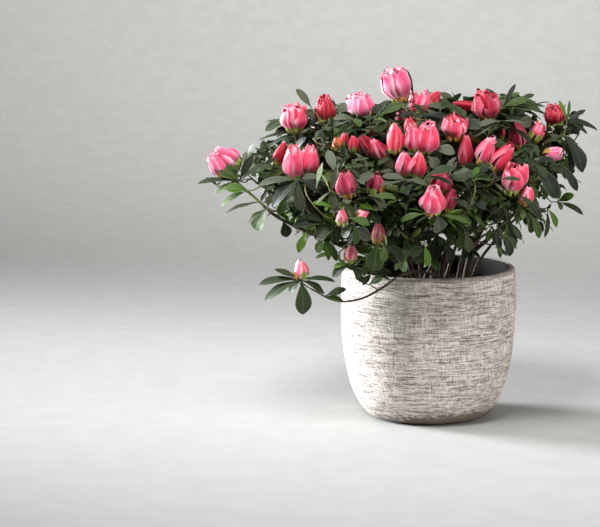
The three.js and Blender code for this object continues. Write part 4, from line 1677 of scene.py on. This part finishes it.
def buildLeaves():
    for tone, look in leafTones.items():
        main, rib, rim, under = (tint(*color) for color in look)
        material, tree, shader = newMaterial("leaf_" + tone, {"Specular IOR Level": 0.26})
        found = useGroup(tree, leafVeins, Main=main, Rib=rib, Rim=rim, Spread=0.45)
        facing = addNode(tree, "ShaderNodeNewGeometry").outputs["Backfacing"]
        color = mixColors(tree, times(tree, facing, 0.8), found["Color"], under)
        dress(tree, shader, found, 0.5, 0.0006, color)
        buildBlades("leaves_" + tone, blades[tone], bladeKeys, leafLook, leafShape, material, "foliage")


sprayLeaves()
buildTwigs()
buildLeaves()
print("leaves are built")


# blossom

petalLook = {"stations": 13, "columns": 9, "seed": 9, "scales": 5, "scaleFrom": 0.011}
# how far the tips flare, ruffle and how late the petals swell; then rings, from the outside: how
# many petals, their share of the width and of the length, how open, half width
bloomKinds = {
    "cup": (-0.16, 1.3, 1.0, [
        (3, 1.0, 0.91, 0.42, 1.02), (3, 0.93, 0.95, 0.38, 0.94), (4, 0.74, 0.99, 0.38, 0.64),
        (4, 0.50, 1.01, 0.40, 0.44), (3, 0.26, 1.0, 0.40, 0.26)]),
    "open": (-0.06, 1.5, 1.4, [
        (4, 1.0, 0.90, 0.68, 0.84), (4, 0.88, 0.96, 0.60, 0.74), (4, 0.70, 1.0, 0.54, 0.58),
        (4, 0.50, 1.0, 0.50, 0.44), (4, 0.28, 0.98, 0.46, 0.28)]),
    "ruffled": (-0.06, 1.9, 1.4, [
        (5, 1.0, 0.86, 0.52, 0.66), (5, 0.86, 0.94, 0.46, 0.58), (5, 0.68, 1.0, 0.42, 0.48),
        (5, 0.48, 1.02, 0.40, 0.36), (4, 0.26, 1.0, 0.42, 0.24)]),
    "full": (-0.06, 1.5, 1.25, [
        (5, 0.98, 0.90, 0.78, 0.70), (5, 0.90, 0.96, 0.70, 0.62), (4, 0.74, 1.0, 0.64, 0.54),
        (4, 0.52, 1.0, 0.58, 0.42), (4, 0.30, 0.98, 0.52, 0.28)]),
    "twin": (0.0, 0.75, 1.0, [
        (2, 1.0, 0.98, 0.20, 0.98), (2, 0.86, 1.0, 0.16, 0.84), (3, 0.66, 0.97, 0.14, 0.62),
        (2, 0.34, 0.92, 0.10, 0.36)]),
    "bud": (0.0, 0.35, 1.0, [
        (3, 1.0, 1.0, 0.14, 1.0), (3, 0.82, 0.985, 0.12, 0.85), (2, 0.45, 0.96, 0.08, 0.5)]),
    "point": (-0.4, 0.4, 0.74, [
        (3, 1.0, 1.0, 0.10, 0.9), (3, 0.80, 1.02, 0.10, 0.8), (2, 0.45, 1.0, 0.08, 0.5)]),
}
# main colour, edge, streak and foot, and how strong the pale edge is; the pale edge and tip are partly
# painted highlight
petalTones = {
    "petals_pale": ((240, 104, 150), (252, 212, 226), (226, 40, 92), (244, 190, 196), 0.8),
    "petals_pink": ((240, 80, 121), (252, 190, 208), (222, 26, 60), (242, 160, 160), 0.85),
    "petals_coral": ((226, 54, 86), (246, 146, 166), (208, 18, 40), (206, 104, 84), 0.7),
    "petals_red": ((176, 22, 44), (218, 84, 108), (140, 8, 24), (160, 54, 52), 0.6),
    "petals_shade": ((178, 44, 76), (216, 112, 136), (146, 18, 42), (150, 80, 68), 0.5),
    "petals_blush": ((240, 112, 134), (255, 214, 216), (222, 44, 84), (206, 196, 112), 0.8),
    "petals_orange": ((226, 110, 64), (240, 168, 120), (206, 54, 44), (196, 150, 66), 0.5),
    "scales_green": ((150, 158, 74), (186, 190, 110), (112, 122, 50), (128, 132, 60), 0.5),
    "scales_amber": ((192, 132, 62), (224, 184, 110), (140, 84, 40), (150, 128, 60), 0.5),
}
petalKeys = ("base", "axis", "out", "length", "radius", "open", "half", "lobe", "skew", "ruffle",
             "flare", "swell", "wave", "tile")
petals = {name: [] for name in petalTones}


def openBloom(bloom, random):
    base, axis, length, radius = bloom["base"], bloom["axis"], bloom["length"], bloom["radius"]
    side = unit(np.cross(axis, (0.12, 0.97, 0.2)))
    other = np.cross(axis, side)

    def outAt(number, count, wander):
        angle = turn + number * fullTurn / count + random.uniform(-wander, wander)
        return side * math.cos(angle) + other * math.sin(angle)

    turn = random.random() * fullTurn
    if bloom["kind"] == "twin":
        # the seam between two lobes faces the front
        turn = -math.pi / 2 + random.uniform(-0.25, 0.25)
    flare, ruffle, swell, rings = bloomKinds[bloom["kind"]]
    for ring, (count, wide, long, opened, half) in enumerate(rings):
        turn += math.pi / count + random.uniform(-0.15, 0.15)
        tone = bloom["tone"] if ring else bloom["outer"]
        for number in range(count):
            out = outAt(number, count, 0.09)
            openness = np.clip(opened + random.normal() * 0.07, 0.0, 0.95)
            petals["petals_" + tone].append((
                base, axis, out, length * long * random.uniform(0.90, 1.04),
                radius * wide * random.uniform(0.95, 1.05), openness, half * radius * wide,
                random.uniform(0.56, 0.78), 0.16 + random.uniform(-0.06, 0.06),
                ruffle * random.uniform(0.8, 1.4), flare + random.uniform(-0.1, 0.1), swell,
                random.uniform(*wavePhase), int(random.integers(atlasTiles ** 2))))
    # bud scales hug the foot, longer and wider on small buds
    small = length < 0.022 or bloom["tone"] == "blush"
    lengths, widths = ((0.45, 0.6), (0.92, 1.0)) if small else ((0.26, 0.42), (0.62, 0.78))
    width = min(radius, petalLook["scaleFrom"])
    for number in range(petalLook["scales"]):
        out = outAt(number, petalLook["scales"], 0.2)
        name = "scales_amber" if random.random() < 0.35 else "scales_green"
        petals[name].append((
            base - axis * 0.0022, axis, out, length * random.uniform(*lengths),
            width * random.uniform(*widths), 0.9, width * 0.42, 0.8, 0.0, 0.2, 0.1, 1.0,
            random.uniform(*wavePhase), int(random.integers(atlasTiles ** 2))))


def petalShape(data, even, s):
    # stations draw closer together towards the rounded tip
    t = 1 - (1 - even) ** 1.55
    radius, opened, wave = data["radius"], data["open"], data["wave"]
    late = t ** data["swell"]
    closed = np.sin(math.pi * np.clip(late, 0, 0.985) ** 0.86) ** 0.75
    cupped = np.sin(np.clip(late / 0.5, 0, 1) * math.pi / 2) ** 0.72
    flared = 1 + data["flare"] * np.clip((t - 0.5) / 0.5, 0, 1) ** 1.8
    reach = radius * ((1 - opened) * closed + opened * cupped) * flared + 0.0008
    outline = t ** 0.5 * np.sqrt(np.clip(1 - t ** 7, 0, 1)) + 0.03
    half = data["half"] * outline * 1.25
    bend = np.maximum(reach, radius * 0.34) * data["lobe"]
    arc = np.clip(s * (half / bend), -1.9, 1.9)
    ruffle = data["ruffle"] * radius
    tipward = t ** 3
    radial = reach - bend * (1 - np.cos(arc)) + data["skew"] * s * half * 0.9
    radial = radial + ruffle * 0.11 * tipward * np.sin(4.2 * s + wave)
    # a shallow furrow down the middle and a flute on each side
    flute = np.cos(s * 1.5 * math.pi + wave * 0.3) * np.sin(t * math.pi)
    radial = radial - flute * 0.065 * radius
    climb = data["length"] * t ** 1.12 + ruffle * 0.05 * tipward * np.sin(3.6 * s + 2 * wave)
    climb = climb + ruffle * 0.045 * tipward * np.sin(7.4 * s + 3 * wave)
    out, axis = data["out"], data["axis"]
    tangent = np.cross(axis, out)
    return t, (data["base"] + out * radial[..., None] + axis * climb[..., None]
               + tangent * (bend * np.sin(arc))[..., None])


def buildBlossom():
    random = np.random.default_rng(petalLook["seed"])
    for bloom in placedBlooms:
        openBloom(bloom, random)
    kinds = {"petals": ("petal_", 0.25, "blossom"), "scales": ("budScale_", 0.1, "foliage")}
    for name, (*look, pale) in petalTones.items():
        kind, tone = name.split("_")
        materialName, glow, slotName = kinds[kind]
        main, edge, streak, foot = (tint(*color) for color in look)
        material, tree, shader = newMaterial(materialName + tone, {
            "Specular IOR Level": 0.35, "Sheen Weight": glow, "Sheen Roughness": 0.4})
        found = useGroup(tree, petalSilk, Main=main, Edge=edge, Streak=streak, Foot=foot, Pale=pale,
                         Spread=0.25)
        facing = addNode(tree, "ShaderNodeNewGeometry").outputs["Backfacing"]
        color = mixColors(tree, times(tree, facing, 0.55), found["Color"], streak)
        dress(tree, shader, found, 0.4, 0.0006, color)
        buildBlades(name, petals[name], petalKeys, petalLook, petalShape, material, slotName)


buildBlossom()
print("blossom is built")
